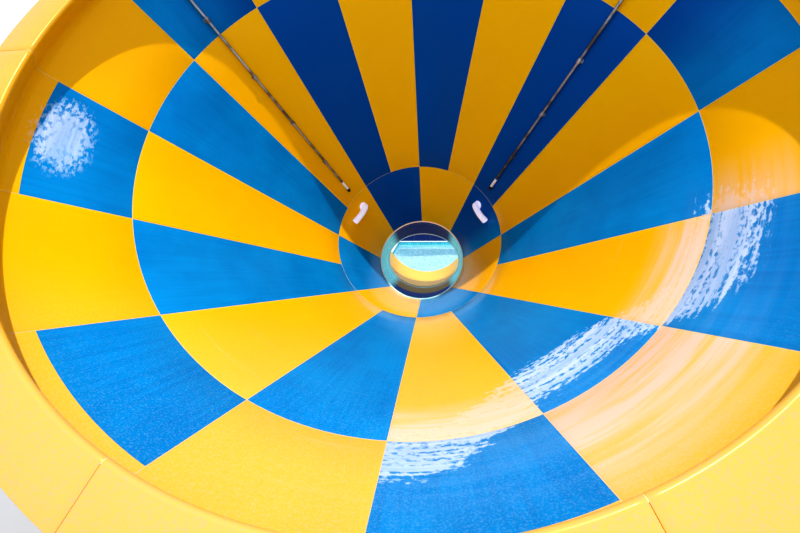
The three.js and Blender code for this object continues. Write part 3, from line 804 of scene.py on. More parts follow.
def makeStiffeners():
    shapes = {"yellow": newShape(), "blue": newShape()}
    setback = stiffeners["setback"]
    for seam in range(funnel["sectors"]):
        bands = [("outer", "yellow", 1), ("middle", "blue" if seam % 2 == 0 else "yellow", 1)]
        if seam % 2 == 0:
            bands.append(("inner", "yellow" if seam % 4 == 0 else "blue", 2))
        for band, colour, span in bands:
            steps = stiffeners["arcSteps"] * span
            start, end = seam * sector, (seam + span) * sector
            for station in stiffeners[band]:
                loops = [stiffenerLoop(station, start, setback)]
                loops += [stiffenerLoop(station, start + (end - start) * i / steps, 0)
                          for i in range(1, steps)]
                loops.append(stiffenerLoop(station, end, -setback))
                loft(shapes[colour], loops)
    for colour, shape in shapes.items():
        makePiece(f"{colour}_stiffeners", shape, [tones[colour][1]], sharp=25)


sealant = {
    "halfWidth": 0.0075, "sunk": 0.003, "depth": 0.02,
    "middleShare": 0.5,   # the middle circle's joint is this much as wide
    "sides": 192,
}


def makeSealant():
    shape = newShape()
    half, sunk, depth = sealant["halfWidth"], sealant["sunk"], sealant["depth"]
    lip = lipProfile()[4:-5]   # without the flange at one end and the brim's edge at the other
    straight = [Vector((coneRadius(s), s)) for s in (innerJoint - 0.01, middleJoint, outerJoint)]
    for seam in range(funnel["sectors"]):
        line = (straight if seam % 2 == 0 else straight[1:]) + lip
        loops = []
        for i, spot in enumerate(line):
            top, bottom = (spot + backOf(line, i) * down for down in (sunk, depth))
            corners = [(top, -half), (top, half), (bottom, half), (bottom, -half)]
            loops.append([conePoint(p.x, p.y, seam * sector, offset) for p, offset in corners])
        loft(shape, loops)
    for station, wide in ((outerJoint, half), (middleJoint, half * sealant["middleShare"]),
                          (innerJoint, half)):
        corners = [(coneRadius(station - wide) + sunk, -wide), (coneRadius(station + wide) + sunk, wide),
                   (coneRadius(station) + depth, wide), (coneRadius(station) + depth, -wide)]
        loft(shape, [[conePoint(radius, station + across, 2 * math.pi * i / sealant["sides"])
                      for radius, across in corners] for i in range(sealant["sides"])], ring=True)
    makePiece("joint_sealant", shape, [sealantCream], sharp=60)


bolts = {
    "spacing": 0.32,
    "washer": (0.027, 0.005), "washerSides": 12, "sunk": 0.002,
    "head": (0.017, 0.014), "headTop": 0.85,
    "line": 0.1,          # from the wet face, square to the axis
    "endGap": 0.12,       # from a joint circle to the first bolt of a seam
    "lipStart": -0.05,
    "webShares": (0.06, 0.18, 0.3, 0.42, 0.54), "webInset": (-0.09, -0.045),
}


def addBolt(shape, place, axis, size=1.0):
    washerRadius, washerHeight = bolts["washer"]
    headRadius, headHeight = bolts["head"]
    top, sunk = washerHeight + headHeight, bolts["sunk"]
    turned(shape, place, axis, [(washerRadius * size, -sunk), (washerRadius * size, washerHeight * size)],
           bolts["washerSides"])
    turned(shape, place, axis, [(headRadius * size, 0.0), (headRadius * size, (top - sunk) * size),
                                (headRadius * size * bolts["headTop"], top * size)], 6)


def addBoltCircle(shape, centre, axis, directions, radius, count, turn, size):
    first, second = directions
    for i in range(count):
        angle = turn + 2 * math.pi * i / count
        addBolt(shape, centre + first * (radius * math.cos(angle)) + second * (radius * math.sin(angle)),
                axis, size)


def makePanelBolts():
    plateFace = panels["gap"] + panels["laminate"]
    gap = bolts["endGap"]
    webTop = Vector((coneRadius(outerJoint) + panels["flange"], outerJoint))
    webFoot = Vector((panels["brim"][2], panels["brim"][0] + panels["brimReturn"]))
    shape = newShape()
    for seam in range(funnel["sectors"]):
        azimuth = seam * sector
        tangent = (conePoint(0, 0, azimuth, 1) - conePoint(0, 0, azimuth)).normalized()
        runs = [(bolts["lipStart"], outerJoint - gap), (outerJoint + gap, middleJoint - gap)]
        if seam % 2 == 0:
            runs.append((middleJoint + gap, innerJoint - gap))
        spots = []
        for low, high in runs:
            count = max(2, round((high - low) / bolts["spacing"]) + 1)
            stations = [low + (high - low) * i / (count - 1) for i in range(count)]
            spots += [(coneRadius(station) + bolts["line"], station) for station in stations]
        spots += [tuple(webFoot.lerp(webTop, share) + Vector(bolts["webInset"]))
                  for share in bolts["webShares"]]
        for radius, station in spots:
            for side in (-1, 1):
                addBolt(shape, conePoint(radius, station, azimuth, side * plateFace), tangent * side)
    makePiece("seam_bolts", shape, [boltZinc], sharp=30)

    shape = newShape()
    for station in (outerJoint, middleJoint):
        radius = coneRadius(station) + bolts["line"]
        perSector = max(3, round(sector * radius / bolts["spacing"]))
        for i in range(perSector * funnel["sectors"]):
            azimuth = (i + 0.5) * sector / perSector
            for side in (-1, 1):
                addBolt(shape, conePoint(radius, station + side * plateFace, azimuth), coneAxis * side)
    makePiece("ring_bolts", shape, [boltZinc], sharp=30)


print("panels")
makePanels()
makeStiffeners()
makeSealant()
makePanelBolts()


# Exit: a flanged ring, a short tunnel and the ring at its far end

exitGear = {
    "ring": (14.0223, 14.282),   # stations
    "lip": 0.06,          # how far the ring stands inside the wall
    "depth": 0.21,
    "web": 0.022, "webRounding": 0.3, "webInside": 1.6, "fillet": 0.028,
    "tunnelWall": 0.04,
    "halfWidth": 2.35, "halfHeight": 1.84, "centre": 3.26,
    "endLength": 0.24, "endDepth": 0.2,
    "sides": 128, "spans": 8,
    "bolts": 48, "ringBolts": 0.14, "endBolts": 0.13,
}


def tunnelPoint(margin, y, azimuth):
    # y is measured before the plant is centred
    return Vector(((exitGear["halfWidth"] + margin) * math.sin(azimuth), y + plantShift,
                   exitGear["centre"] + (exitGear["halfHeight"] + margin) * math.cos(azimuth)))


def flangedProfile(inner, outer, near, far):
    # channel section: a skin with an upstand at each end
    web, fillet = exitGear["web"], exitGear["fillet"]
    small, skin = web * exitGear["webRounding"], inner + web * exitGear["webInside"]
    middle = (inner + outer) / 2
    return roundedPath([
        (middle, near, 0), (inner, near, fillet), (inner, far, fillet), (outer, far, small),
        (outer, far - web, small), (skin, far - web, web), (skin, near + web, web),
        (outer, near + web, small), (outer, near, small), (middle, near, 0)])[:-1]


def makeFlangedRing(name, profile, inner, place, node):
    # the ring's flat inner face carries the tunnel's lining, its edges and flanges stay cream
    shape = newShape()
    sides, size = exitGear["sides"], len(profile)
    loft(shape, [[place(p.x, p.y, 2 * math.pi * i / sides) for p in profile] for i in range(sides)],
         ring=True)
    flat = [all(abs(profile[j % size].x - inner) < 0.001 for j in (i, i + 1)) for i in range(size)]
    shape["paint"] = [int(flat[i % size]) for i in range(len(shape["faces"]))]
    makePiece(name, shape, [cream, tunnelBlue], [node])


def makeExit():
    exitRadius = coneRadius(innerJoint)
    near, far = exitGear["ring"]
    inner = exitRadius - exitGear["lip"]
    profile = flangedProfile(inner, exitRadius + exitGear["depth"], near, far)
    makeFlangedRing("exit_flange_ring", profile, inner, conePoint, "exit_ring")

    start, end, wall = far + funnel["fitGap"], funnel["tunnelEnd"], exitGear["tunnelWall"]
    spans, sides = exitGear["spans"], exitGear["sides"]
    shape = newShape()
    loops = []
    for angle in (2 * math.pi * i / sides for i in range(sides)):
        inside, outside = (
            [conePoint(exitRadius + margin, start, angle).lerp(tunnelPoint(margin, end, angle), i / spans)
             for i in range(spans + 1)] for margin in (0, wall))
        loops.append(inside + outside[::-1])
    loft(shape, loops, ring=True)
    # the first half of each slice's faces line the inside, the others are the plain back
    size = 2 * (spans + 1)
    shape["paint"] = [int(i % size > spans) for i in range(len(shape["faces"]))]
    makePiece("exit_tunnel_lining", shape, [tunnelBlue, tunnelBack], ["exit_tunnel"],
              sharp=50)

    near = end + funnel["fitGap"]
    profile = flangedProfile(-exitGear["lip"], exitGear["endDepth"], near, near + exitGear["endLength"])
    makeFlangedRing("tunnel_flange_ring", profile, -exitGear["lip"], tunnelPoint, "tunnel_end_ring")

    shape = newShape()
    line, endLine, along = exitRadius + exitGear["ringBolts"], exitGear["endBolts"], Vector((0, 1, 0))
    for i in range(exitGear["bolts"]):
        azimuth = 2 * math.pi * (i + 0.5) / exitGear["bolts"]
        addBolt(shape, conePoint(line, far, azimuth), coneAxis)
        addBolt(shape, conePoint(line, far - exitGear["web"], azimuth), -coneAxis)
        addBolt(shape, tunnelPoint(endLine, near + exitGear["endLength"], azimuth), along)
        addBolt(shape, tunnelPoint(endLine, near, azimuth), -along)
    makePiece("exit_bolts", shape, [boltZinc], sharp=30)


trough = {
    "end": 20.0, "radius": 3.25, "bottom": 1.16, "top": 2.95, "startTop": 3.3,
    "laminate": 0.016,
    "edgeRadius": 0.036, "edgeOut": 0.012, "edgeShort": 0.02,   # the rolled side edges
    "ribs": (15.9, 16.9, 17.9, 18.9), "ribDepth": 0.06, "ribWidth": 0.12,
    "ribCrown": 0.6, "ribReach": 0.97, "ribFoot": 0.5,          # shares of the width, sweep and laminate
    "steps": 48, "lengthSteps": 16,
}
troughStart = funnel["tunnelEnd"] + funnel["fitGap"] + exitGear["endLength"] + funnel["fitGap"]


def troughPoint(y, across, margin=0.0):
    # across runs from -1 at the left edge to 1 at the right one
    share = (y - troughStart) / (trough["end"] - troughStart)
    startSweep = math.pi / 2 + math.asin((trough["startTop"] - exitGear["centre"]) / exitGear["halfHeight"])
    endSweep = math.acos(1 - (trough["top"] - trough["bottom"]) / trough["radius"])
    a, b = across * startSweep, across * endSweep
    start = Vector(((exitGear["halfWidth"] + margin) * math.sin(a), 0,
                    exitGear["centre"] - (exitGear["halfHeight"] + margin) * math.cos(a)))
    end = Vector(((trough["radius"] + margin) * math.sin(b), 0,
                  trough["bottom"] + trough["radius"] - (trough["radius"] + margin) * math.cos(b)))
    spot = start.lerp(end, share)
    spot.y = y + plantShift
    return spot


def makeTrough():
    shape = newShape()
    steps, rows, wall = trough["steps"], trough["lengthSteps"], trough["laminate"]
    sweep = [2 * i / steps - 1 for i in range(steps + 1)]
    ys = [troughStart + (trough["end"] - troughStart) * i / rows for i in range(rows + 1)]
    loft(shape, [[troughPoint(y, across) for across in sweep]
                 + [troughPoint(y, across, wall) for across in sweep[::-1]] for y in ys])
    for side in (-1, 1):
        path = [troughPoint(y, side) + Vector((side * trough["edgeOut"], 0, 0)) for y in ys]
        path[0].y += trough["edgeShort"]
        path[-1].y -= trough["edgeShort"]
        loft(shape, ringsAlong(path, [trough["edgeRadius"]] * len(path), 16))
    half, deep = trough["ribWidth"] / 2, trough["ribDepth"]
    crown, foot = half * trough["ribCrown"], wall * trough["ribFoot"]
    for y in trough["ribs"]:
        loft(shape, [[troughPoint(y + along, trough["ribReach"] * across, margin)
                      for along, margin in ((-half, foot), (-crown, deep), (crown, deep), (half, foot))]
                     for across in sweep])
    makePiece("trough_moulding", shape, [yellowWet], ["runout_trough"], sharp=35)


print("exit and trough")
makeExit()
makeTrough()


# Catch basin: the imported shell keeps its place, with slabs, tiles and still water on it

basin = {
    "start": 19.65, "length": 12.6, "halfWidth": 3.9, "wall": 0.3,
    "height": 1.4503, "coping": 0.1, "overhang": 0.06,
    "slab": 0.62, "joint": 0.008, "slabEdge": 0.014,
    "seat": 1.66,         # half width left open for the trough
    "water": 1.12, "waterDepth": 0.1,
    "waterGrid": (60, 100), "overlap": 0.01,
    "waves": 9, "waveNumbers": (0.8, 2.6), "waveHeight": 0.004,
}
basinStart = basin["start"] + plantShift
basinEnd = basinStart + basin["length"]


def refinish(node, finish):
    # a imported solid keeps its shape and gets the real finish
    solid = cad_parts[node]
    solid.data.materials.clear()
    solid.data.materials.append(finish)


def slabRow(shape, fromX, toX, fromY, toY):
    # slabs laid along the longer side of a band, with open joints
    low, high, gap = basin["height"], basin["height"] + basin["coping"], basin["joint"] / 2
    alongX = toX - fromX > toY - fromY
    start, end = (fromX, toX) if alongX else (fromY, toY)
    count = max(1, round((end - start) / basin["slab"]))
    for i in range(count):
        near = start + (end - start) * (i / count) + gap
        far = start + (end - start) * ((i + 1) / count) - gap
        if alongX:
            block(shape, (near, fromY, low), (far, toY, high))
        else:
            block(shape, (fromX, near, low), (toX, far, high))


def makeCoping():
    over, wall, half, seat = basin["overhang"], basin["wall"], basin["halfWidth"], basin["seat"]
    outerX, innerX, band = half + over, half - wall - over, wall + 2 * over
    nearY, farY = basinStart - over, basinEnd + over
    shape = newShape()
    slabRow(shape, -outerX, outerX, farY - band, farY)
    slabRow(shape, -outerX, -seat, nearY, nearY + band)
    slabRow(shape, seat, outerX, nearY, nearY + band)
    slabRow(shape, -outerX, -innerX, nearY + band, farY - band)
    slabRow(shape, innerX, outerX, nearY + band, farY - band)
    makePiece("coping_slabs", shape, [whiteCoat], ["basin_coping"], bevel=basin["slabEdge"])


def makeWater():
    # a thin body with a faintly rippled top, a hand's depth of it modelled
    random.seed(7)
    waves = [(random.uniform(*basin["waveNumbers"]), random.uniform(0, 2 * math.pi),
              random.uniform(0, 2 * math.pi)) for _ in range(basin["waves"])]
    columns, rows = basin["waterGrid"]
    inset = basin["wall"] - basin["overlap"]
    x0, x1 = inset - basin["halfWidth"], basin["halfWidth"] - inset
    y0, y1 = basinStart + inset, basinEnd - inset
    points, faces = [], []
    for j in range(rows + 1):
        for i in range(columns + 1):
            x, y = x0 + (x1 - x0) * i / columns, y0 + (y1 - y0) * j / rows
            lift = sum(math.sin(k * (x * math.cos(d) + y * math.sin(d)) + p) for k, d, p in waves)
            points.append(Vector((x, y, basin["water"] + basin["waveHeight"] * lift)))
    row = columns + 1
    for j in range(rows):
        for i in range(columns):
            corner = j * row + i
            faces.append((corner, corner + 1, corner + row + 1, corner + row))
    edge = list(range(row)) + [j * row + columns for j in range(1, rows + 1)]
    edge += [rows * row + i for i in range(columns - 1, -1, -1)] + [j * row for j in range(rows - 1, 0, -1)]
    under = len(points)
    points += [Vector((points[i].x, points[i].y, basin["water"] - basin["waterDepth"])) for i in edge]
    for i in range(len(edge)):
        j = (i + 1) % len(edge)
        faces.append((edge[i], under + i, under + j, edge[j]))
    faces.append(tuple(under + i for i in range(len(edge))))
    shape = newShape()
    addFaces(shape, points, faces)
    makePiece("basin_water", shape, [waterTop], sharp=60)


farWall = {
    "bottom": 1.5506, "height": 0.9, "setback": 0.22, "thickness": 0.08,
    "posts": (-3.6, -1.8, 0.0, 1.8, 3.6), "boltHeights": (0.12, 0.36, 0.6), "boltPair": 0.03,
    "rail": 0.035, "railProud": 0.012, "railShort": 0.01,
}


def makeSplashWall():
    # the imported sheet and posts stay; a white top rail and bolts are added to them
    near = basinEnd - farWall["setback"]
    half, proud = farWall["thickness"] / 2, farWall["railProud"]
    end = basin["halfWidth"] - farWall["railShort"]
    # round rail let into the sheet's top edge, a hair lower than it
    height = farWall["bottom"] + farWall["height"] - farWall["rail"]
    shape = newShape()
    loft(shape, [roundLoop(Vector((x, near + half, height)), Vector((0, 1, 0)), upward, half + proud, 20)
                 for x in (-end, end)])
    makePiece("splash_wall_rail", shape, [whiteCoat], sharp=50)
    shape = newShape()
    for x in farWall["posts"]:
        for rise in farWall["boltHeights"]:
            for side in (-farWall["boltPair"], farWall["boltPair"]):
                addBolt(shape, Vector((x + side, near, farWall["bottom"] + rise)), Vector((0, -1, 0)), 0.8)
    makePiece("splash_wall_bolts", shape, [boltZinc], sharp=30)


print("basin")
refinish("basin_shell", basinPaint)
refinish("basin_splash_wall", wallNavy)
makeCoping()
makeWater()
makeSplashWall()


# Spray pipes on clamps, and the two white inlet elbows

pipes = {
    "azimuth": math.radians(58), "radius": 0.055, "standOff": 0.11,
    "ends": (-0.12, 9.9), "clamps": (1.575, 3.71, 5.84, 8.02),
    "cap": (0.03, 0.05, 0.055), "capRadius": 0.8,
    "sleeve": 0.17, "sleeveRadius": 0.08,
    "endSleeve": (0.62, 0.1), "endSleeveRadii": (1.2, 1.25),   # from the lower end; shares of the radius
    "nippleSpacing": 0.45, "nippleSunk": 0.004, "nippleTurn": 0.4,
    "nipple": ((0.013, 0), (0.013, 0.012), (0.009, 0.022), (0.005, 0.022), (0.004, 0.008)),
    "sides": 28, "sideBolt": (1.02, 0.7),
}
# posts on bolted base plates; the finish is the place in the pipe's list of materials
pipeFeet = {
    "clamp": {"post": 0.033, "postSides": 18, "postFinish": 3, "plateSides": 28,
              "plate": ((0.095, -0.01), (0.095, 0.009), (0.088, 0.014), (0.045, 0.02)),
              "bolts": 4, "circle": 0.07, "turn": math.pi / 4, "seat": 0.012, "size": 0.5},
    "root": {"post": 0.055, "postSides": 28, "postFinish": 0, "plateSides": 32,
             "plate": ((0.14, -0.01), (0.14, 0.012), (0.132, 0.018), (0.07, 0.024)),
             "bolts": 6, "circle": 0.11, "turn": 0.0, "seat": 0.016, "size": 0.6},
}


def addPipeFoot(shape, root, inward, directions, foot):
    turned(shape, root, inward, [(foot["post"], -0.01), (foot["post"], pipes["standOff"])],
           foot["postSides"], foot["postFinish"])
    turned(shape, root, inward, foot["plate"], foot["plateSides"], 3)
    addBoltCircle(shape, root + inward * foot["seat"], inward, directions, foot["circle"], foot["bolts"],
                  foot["turn"], foot["size"])


def addSleeve(shape, middle, axis, finish):
    # two-part sleeve: a body with chamfered ends and a raised band in the middle
    half, wide, radius = pipes["sleeve"] / 2, pipes["sleeveRadius"], pipes["radius"] * 0.99
    left = [(radius, half), (wide * 0.93, half), (wide, half * 0.9), (wide, half * 0.25),
            (wide * 1.1, half * 0.2)]
    turned(shape, middle, axis, [(r, -along) for r, along in left] + left[::-1], pipes["sides"], finish)


def makePipe(side, label):
    shape = newShape()
    azimuth = side * pipes["azimuth"]
    radius, off, sides = pipes["radius"], pipes["standOff"], pipes["sides"]
    first, last = pipes["ends"]
    start, end = wallPoint(first, azimuth, off), wallPoint(last, azimuth, off)
    axis = (end - start).normalized()
    length = (end - start).length
    inward = (wallPoint(first, azimuth, 1) - wallPoint(first, azimuth, 0)).normalized()
    across = axis.cross(inward).normalized()
    cap = list(zip((radius, radius * pipes["capRadius"], 0), pipes["cap"]))
    turned(shape, start, axis, [(r, -out) for r, out in cap[::-1]] + [(r, length + out) for r, out in cap],
           sides)
    for station in (first,) + pipes["clamps"] + (last,):
        addSleeve(shape, wallPoint(station, azimuth, off), axis, 1 if station == last else 3)
    # white sleeve before the rubber cap
    near, far = (length - reach for reach in pipes["endSleeve"])
    tight, wide = (radius * share for share in pipes["endSleeveRadii"])
    turned(shape, start, axis, [(radius * 0.99, near), (tight, near), (wide, near + 0.01),
                                (wide, far - 0.01), (tight, far), (radius * 0.99, far)], sides, 2)
    reach, size = pipes["sideBolt"]
    for station in pipes["clamps"]:
        foot = wallPoint(station, azimuth, 0)
        addPipeFoot(shape, foot, inward, (axis, across), pipeFeet["clamp"])
        for way in (-1, 1):
            addBolt(shape, foot + inward * off + across * (way * pipes["sleeveRadius"] * reach),
                    across * way, size)
    addPipeFoot(shape, wallPoint(first, azimuth, 0), inward, (axis, across), pipeFeet["root"])
    nipples = int(length / pipes["nippleSpacing"])
    down = (across * side - inward * pipes["nippleTurn"]).normalized()
    for i in range(1, nipples):
        spot = start + axis * (length * i / nipples) + down * (radius - pipes["nippleSunk"])
        turned(shape, spot, down, pipes["nipple"], 12)
    makePiece(f"spray_pipe_{label}_assembly", shape, [pipeZinc, rubberBlack, whiteCoat, clampZinc],
              [f"spray_pipe_{label}"])


elbows = {
    # station, azimuth in degrees, height square to the wall
    "path": ((11.25, 57, -0.004), (11.25, 57, 0.21), (11.215, 65.5, 0.335), (11.16, 74, 0.235)),
    "radius": 0.155, "wall": 0.012, "collar": 1.06, "collarRings": 4,
    "flange": 0.232, "sunk": 0.005, "boltCircle": 0.2, "bolts": 8, "boltSeat": 0.036, "boltSize": 0.9,
    "steps": 10, "sides": 36,
}


def smoothPath(points, steps):
    # Catmull-Rom curve through the points
    ends = [2 * points[0] - points[1]] + points + [2 * points[-1] - points[-2]]
    path = []
    for a, b, c, d in zip(ends, ends[1:], ends[2:], ends[3:]):
        for i in range(steps):
            t = i / steps
            path.append(0.5 * (2 * b + (c - a) * t + (2 * a - 5 * b + 4 * c - d) * t ** 2
                               + (3 * b - a - 3 * c + d) * t ** 3))
    path.append(points[-1])
    return path


def makeElbow(side, label):
    shape = newShape()
    spots = [wallPoint(station, side * math.radians(azimuth), height)
             for station, azimuth, height in elbows["path"]]
    path = smoothPath(spots, elbows["steps"])
    radius, flange = elbows["radius"], elbows["flange"]
    # the open end has a thicker collar
    collar = elbows["collarRings"]
    outer = [radius] * (len(path) - collar) + [radius * elbows["collar"]] * collar
    inner = [radius - elbows["wall"]] * len(path)
    outside, inside = (ringsAlong(path, radii, elbows["sides"]) for radii in (outer, inner))
    loft(shape, outside + inside[::-1])
    station, azimuth, _ = elbows["path"][0]
    root = wallPoint(station, side * math.radians(azimuth), 0)
    inward = (path[1] - path[0]).normalized()
    turned(shape, root, inward, [(flange, -elbows["sunk"]), (flange, 0.03), (flange * 0.97, 0.04),
                                 (radius * 1.1, 0.045), (radius * 1.03, 0.075)], 40)
    addBoltCircle(shape, root + inward * elbows["boltSeat"], inward, sideways(inward), elbows["boltCircle"],
                  elbows["bolts"], math.pi / elbows["bolts"], elbows["boltSize"])
    makePiece(f"inlet_elbow_{label}", shape, [elbowWhite], [f"nozzle_{label}"])


print("spray pipes and elbows")
bothSides = ((1, "right"), (-1, "left"))
for side, label in bothSides:
    makePipe(side, label)
    makeElbow(side, label)


# Columns: round posts with bracket plates bolted to the seams

columns = {
    "mouth_column": {"seam": 4, "station": 1.1, "out": 0.65, "radius": 0.26},
    "lip_column": {"seam": 7, "station": 0.7, "out": 0.65, "radius": 0.23},
    "middle_column": {"seam": 6, "station": 6.3, "out": 0.6, "radius": 0.23},
    "rear_column": {"seam": 6, "station": 12.3, "out": 0.56, "radius": 0.18},
}
columnGear = {
    "foot": 0.9, "footThickness": 0.04, "sides": 40,
    "bracketLength": 1.1, "bracketThickness": 0.04, "bracketFace": 0.0206,
    "bracketSeat": 0.041, "bracketReach": 1.3, "bracketBolts": 5, "bracketBoltSize": 1.3,
    "flat": 0.012, "flatShares": (0.12, 0.96), "flatDepth": 2.4,
    "clearance": 0.205,
    "gussets": 8, "gusset": (0.17, 0.42, 0.02), "gussetToe": 0.04, "gussetTop": 0.05, "sunk": 0.01,
    "anchors": 8, "anchor": 0.37, "anchorSize": 1.6, "stud": ((0.014, 0), (0.014, 0.06), (0.011, 0.064)),
    "weld": ((0, 0.016), (0.016, 0), (0.012, -0.004), (0, -0.004)),   # bead: out from the post, and up
    "coneEnds": (-0.7, 0.2), "searchStep": 0.1, "halvings": 12,
}


def underCone(x, y, top, grown):
    # height where an upright line meets the cone grown by a margin, or the top if it doesn't
    inverse = coneFrame.inverted()
    before, beyond = columnGear["coneEnds"]
    step = columnGear["searchStep"]

    def inside(z):
        p = inverse @ Vector((x, y, z))
        return before < p.y < innerJoint + beyond and math.hypot(p.x, p.z) < coneRadius(p.y) + grown

    z = 0.0
    while z < top:
        if inside(z):
            low, high = z - step, z
            for _ in range(columnGear["halvings"]):
                middle = (low + high) / 2
                low, high = (low, middle) if inside(middle) else (middle, high)
            return low
        z += step
    return top


def addAnchor(shape, spot, size, stud):
    addBolt(shape, spot, upward, size)
    turned(shape, spot, upward, stud, 12)


def addColumnFoot(shape, base, radius):
    gear = columnGear
    half = gear["foot"] / 2
    turned(shape, base, upward, [(radius + out, up) for out, up in gear["weld"]], gear["sides"])
    block(shape, (base.x - half, base.y - half, 0), (base.x + half, base.y + half, gear["footThickness"]))
    reach, tall, web = gear["gusset"]
    for i in range(gear["gussets"]):
        angle = 2 * math.pi * i / gear["gussets"]
        outward = Vector((math.cos(angle), math.sin(angle), 0))
        across = Vector((-outward.y, outward.x, 0)) * web
        foot = base + outward * (radius - gear["sunk"]) - across / 2
        plate(shape, [foot + outward * out + upward * up for out, up in
                      ((0, 0), (reach, 0), (reach, gear["gussetToe"]), (gear["gussetTop"], tall), (0, tall))],
              across)
    for i in range(gear["anchors"]):
        # in a square round the post
        angle = 2 * math.pi * (i + 0.5) / gear["anchors"]
        reach = gear["anchor"] / max(abs(math.cos(angle)), abs(math.sin(angle)))
        spot = base + Vector((math.cos(angle), math.sin(angle), 0)) * reach
        addAnchor(shape, spot, gear["anchorSize"], gear["stud"])


def addBracket(shape, place):
    gear = columnGear
    azimuth, station, radius = place["seam"] * sector, place["station"], place["radius"]
    face, thick, half = gear["bracketFace"], gear["bracketThickness"], gear["bracketLength"] / 2
    low, high = station - half, station + half
    arm = coneRadius(station) + place["out"] + radius * gear["bracketReach"]
    outline = [Vector((coneRadius(low) + gear["bracketSeat"], low)),
               Vector((coneRadius(high) + gear["bracketSeat"], high)),
               Vector((arm, station + radius)), Vector((arm, station - radius))]
    depth = conePoint(0, 0, azimuth, thick) - conePoint(0, 0, azimuth, 0)
    plate(shape, [conePoint(p.x, p.y, azimuth, face) for p in outline], depth)
    # stiffening flats along the bracket's free edges
    for near, far in ((outline[0], outline[3]), (outline[1], outline[2])):
        inner, outer = (near.lerp(far, share) for share in gear["flatShares"])
        across = (outer - inner).normalized()
        across = Vector((-across.y, across.x)) * gear["flat"]
        loop = [inner - across, outer - across, outer + across, inner + across]
        plate(shape, [conePoint(p.x, p.y, azimuth, face + thick / 2) for p in loop],
              depth * gear["flatDepth"])
    count = gear["bracketBolts"]
    for i in range(count):
        spot = low + (high - low) * (i + 0.5) / count
        addBolt(shape, conePoint(coneRadius(spot) + bolts["line"], spot, azimuth, face + thick),
                depth.normalized(), gear["bracketBoltSize"])


def makeColumn(name, place, side, label):
    shape = newShape()
    gear, radius = columnGear, place["radius"]
    head = conePoint(coneRadius(place["station"]) + place["out"], place["station"], place["seam"] * sector,
                     gear["bracketFace"])
    base = Vector((head.x, head.y, gear["footThickness"]))
    # the post's top is cut to the cone
    lower = roundLoop(base - upward * gear["sunk"], Vector((1, 0, 0)), Vector((0, 1, 0)), radius,
                      gear["sides"])
    upper = [Vector((p.x, p.y, underCone(p.x, p.y, head.z + radius, gear["clearance"]))) for p in lower]
    loft(shape, [lower, upper])
    addColumnFoot(shape, base, radius)
    addBracket(shape, place)
    if side < 0:
        shape["points"] = [Vector((-p.x, p.y, p.z)) for p in shape["points"]]
    makePiece(f"{name}_{label}_post", shape, [steelPaint], [f"{name}_{label}"], bevel=0.004,
              sharp=30)


standGear = {
    "faces": (0.04, 0.2), "legs": (-1.5, 1.5), "base": 0.04,
    "anchor": 0.24, "anchorSize": 1.4, "stud": ((0.012, 0), (0.012, 0.055), (0.009, 0.06)),
    "legWeb": ((0.075, 0.04), (0.27, 0.04), (0.27, 0.08), (0.075, 0.34)), "legWebThickness": 0.02,
    "beamWebs": 9, "beamStart": -1.6, "beamStep": 0.4, "beamWebThickness": 0.016,
    "beamBottom": 0.72, "beamTops": (1.0, 1.35), "beamReach": 0.05, "seat": 1.3,
}


def makeStand():
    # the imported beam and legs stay; webs and anchors are added to them
    gear = standGear
    near, far = (funnel["tunnelEnd"] + face + plantShift for face in gear["faces"])
    middle = (near + far) / 2
    shape = newShape()
    for x in gear["legs"]:
        for dx in (-gear["anchor"], gear["anchor"]):
            for dy in (-gear["anchor"], gear["anchor"]):
                addAnchor(shape, Vector((x + dx, middle + dy, gear["base"])), gear["anchorSize"],
                          gear["stud"])
        for way in (-1, 1):
            half = gear["legWebThickness"] / 2
            plate(shape, [Vector((x - half, middle + way * out, z)) for out, z in gear["legWeb"]],
                  Vector((2 * half, 0, 0)))
    low, reach, half = gear["beamBottom"], gear["beamReach"], gear["beamWebThickness"] / 2
    for i in range(gear["beamWebs"]):
        x = gear["beamStart"] + gear["beamStep"] * i
        # lower under the round seat
        top = gear["beamTops"][0] if abs(x) < gear["seat"] else gear["beamTops"][1]
        for face, out in ((near, -reach), (far, reach)):
            plate(shape, [Vector((x - half, face + along, z)) for along, z in
                          ((0, low), (out, low), (out, top), (0, top))], Vector((2 * half, 0, 0)))
    makePiece("stand_fittings", shape, [steelPaint], bevel=0.002, sharp=30)


print("columns and stand")
for name, place in columns.items():
    for side, label in bothSides:
        makeColumn(name, place, side, label)
refinish("tunnel_stand", steelPaint)
makeStand()


# Studio: pale floor, pale backdrop, one high soft key and a broad fill before the mouth

studio = {
    "floor": "#B2B0AC", "floorReach": 160, "floorDrop": 0.004,
    "ambient": "#C6D8F6", "ambientStrength": 0.9,
    "backdrop": "#DDE6EC", "backdropRadius": 170,
    "keyFrom": (0.127, -0.397, 0.909), "keyStrength": 2.55, "keyAngle": 0.7, "keyColour": (1.0, 0.97, 0.92),
    "fillPower": 700, "fillColour": "#F6F2F4", "fillSize": 22, "fillPlace": (2, -34, 13),
    "fillAim": (6, 8),    # metres along the plant from its middle, and up
}


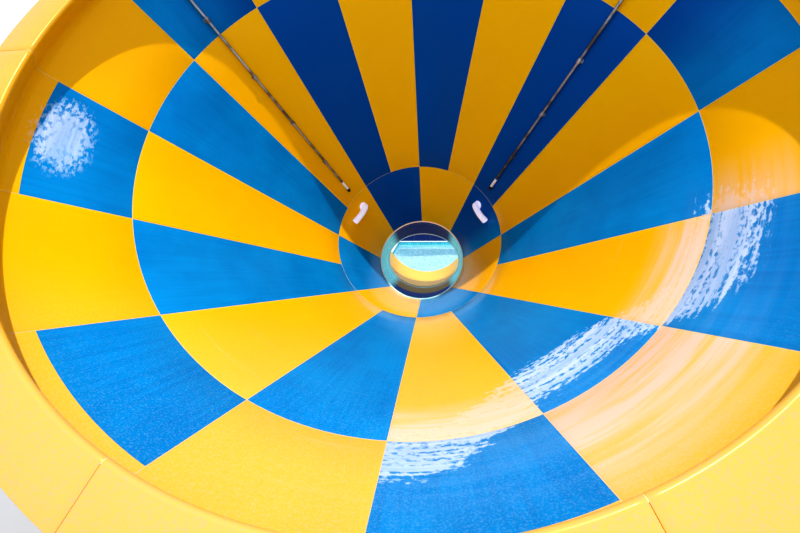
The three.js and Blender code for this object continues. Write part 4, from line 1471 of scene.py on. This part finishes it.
def makeBackdrop():
    finish = startFinish("studio_floor", {"Roughness": 0.9, "Base Color": studio["floor"]})[0]
    reach = studio["floorReach"]
    shape = newShape()
    corners = ((-reach, -reach), (reach, -reach), (reach, reach), (-reach, reach))
    addFaces(shape, [Vector((x, y, -studio["floorDrop"])) for x, y in corners], [(0, 1, 2, 3)])
    placed("floor", meshOf("floor", shape, [finish]))

    world = bpy.data.worlds.new("backdrop")
    bpy.context.scene.world = world
    world.use_nodes = True
    setInputs(world.node_tree.nodes["Background"], {
        "Color": studio["ambient"], "Strength": studio["ambientStrength"]})

    # pale backdrop all round, seen by the camera alone so that it sheds no light on the plant
    finish = startFinish("studio_backdrop", {
        "Emission Color": studio["backdrop"], "Emission Strength": 1.0, "Roughness": 1.0,
        "Base Color": "#000000"})[0]
    mesh = bpy.data.meshes.new("backdrop")
    work = bmesh.new()
    bmesh.ops.create_uvsphere(work, u_segments=48, v_segments=24, radius=studio["backdropRadius"])
    work.to_mesh(mesh)
    work.free()
    mesh.materials.append(finish)
    backdrop = placed("backdrop", mesh)
    backdrop.visible_diffuse = backdrop.visible_glossy = backdrop.visible_shadow = False


def makeLights():
    key = bpy.data.lights.new("key", "SUN")
    key.energy = studio["keyStrength"]
    key.angle = math.radians(studio["keyAngle"])
    key.color = studio["keyColour"]
    placed("key", key).rotation_euler = Vector(studio["keyFrom"]).to_track_quat("Z", "Y").to_euler()

    fill = bpy.data.lights.new("fill", "AREA")
    fill.energy = studio["fillPower"]
    fill.color = linear(studio["fillColour"])[:3]
    fill.shape = "DISK"
    fill.size = studio["fillSize"]
    lamp = placed("fill", fill)
    lamp.location = Vector(studio["fillPlace"])
    lamp.visible_glossy = False
    along, height = studio["fillAim"]
    aim = Vector((0, plantShift + along, height)) - lamp.location
    lamp.rotation_euler = (-aim).to_track_quat("Z", "Y").to_euler()


view = {
    "eye": (1.076, -9.14, -2.72),     # metres from the middle of the mouth
    "heading": math.radians(-6.2), "rise": math.radians(-6.4), "roll": math.radians(-1.15),
    "lens": 16.55, "sensor": 36, "shift": -0.06, "farthest": 500,
}


def makeCamera():
    lens = bpy.data.cameras.new("camera")
    lens.lens = view["lens"]
    lens.sensor_width = view["sensor"]
    lens.shift_y = view["shift"]
    lens.clip_end = view["farthest"]
    camera = placed("camera", lens)
    heading, rise, roll = view["heading"], view["rise"], view["roll"]
    forward = Vector((math.sin(heading) * math.cos(rise), math.cos(heading) * math.cos(rise), math.sin(rise)))
    level = forward.cross(upward).normalized()
    right = level * math.cos(roll) + level.cross(forward) * math.sin(roll)
    turn = Matrix((right, right.cross(forward), -forward)).transposed().to_4x4()
    camera.matrix_world = Matrix.Translation(mouthMiddle + Vector(view["eye"])) @ turn
    bpy.context.scene.camera = camera


print("studio")
makeBackdrop()
makeLights()
makeCamera()
bpy.context.scene.view_settings.view_transform = "Standard"
bpy.context.scene.view_settings.look = "High Contrast"
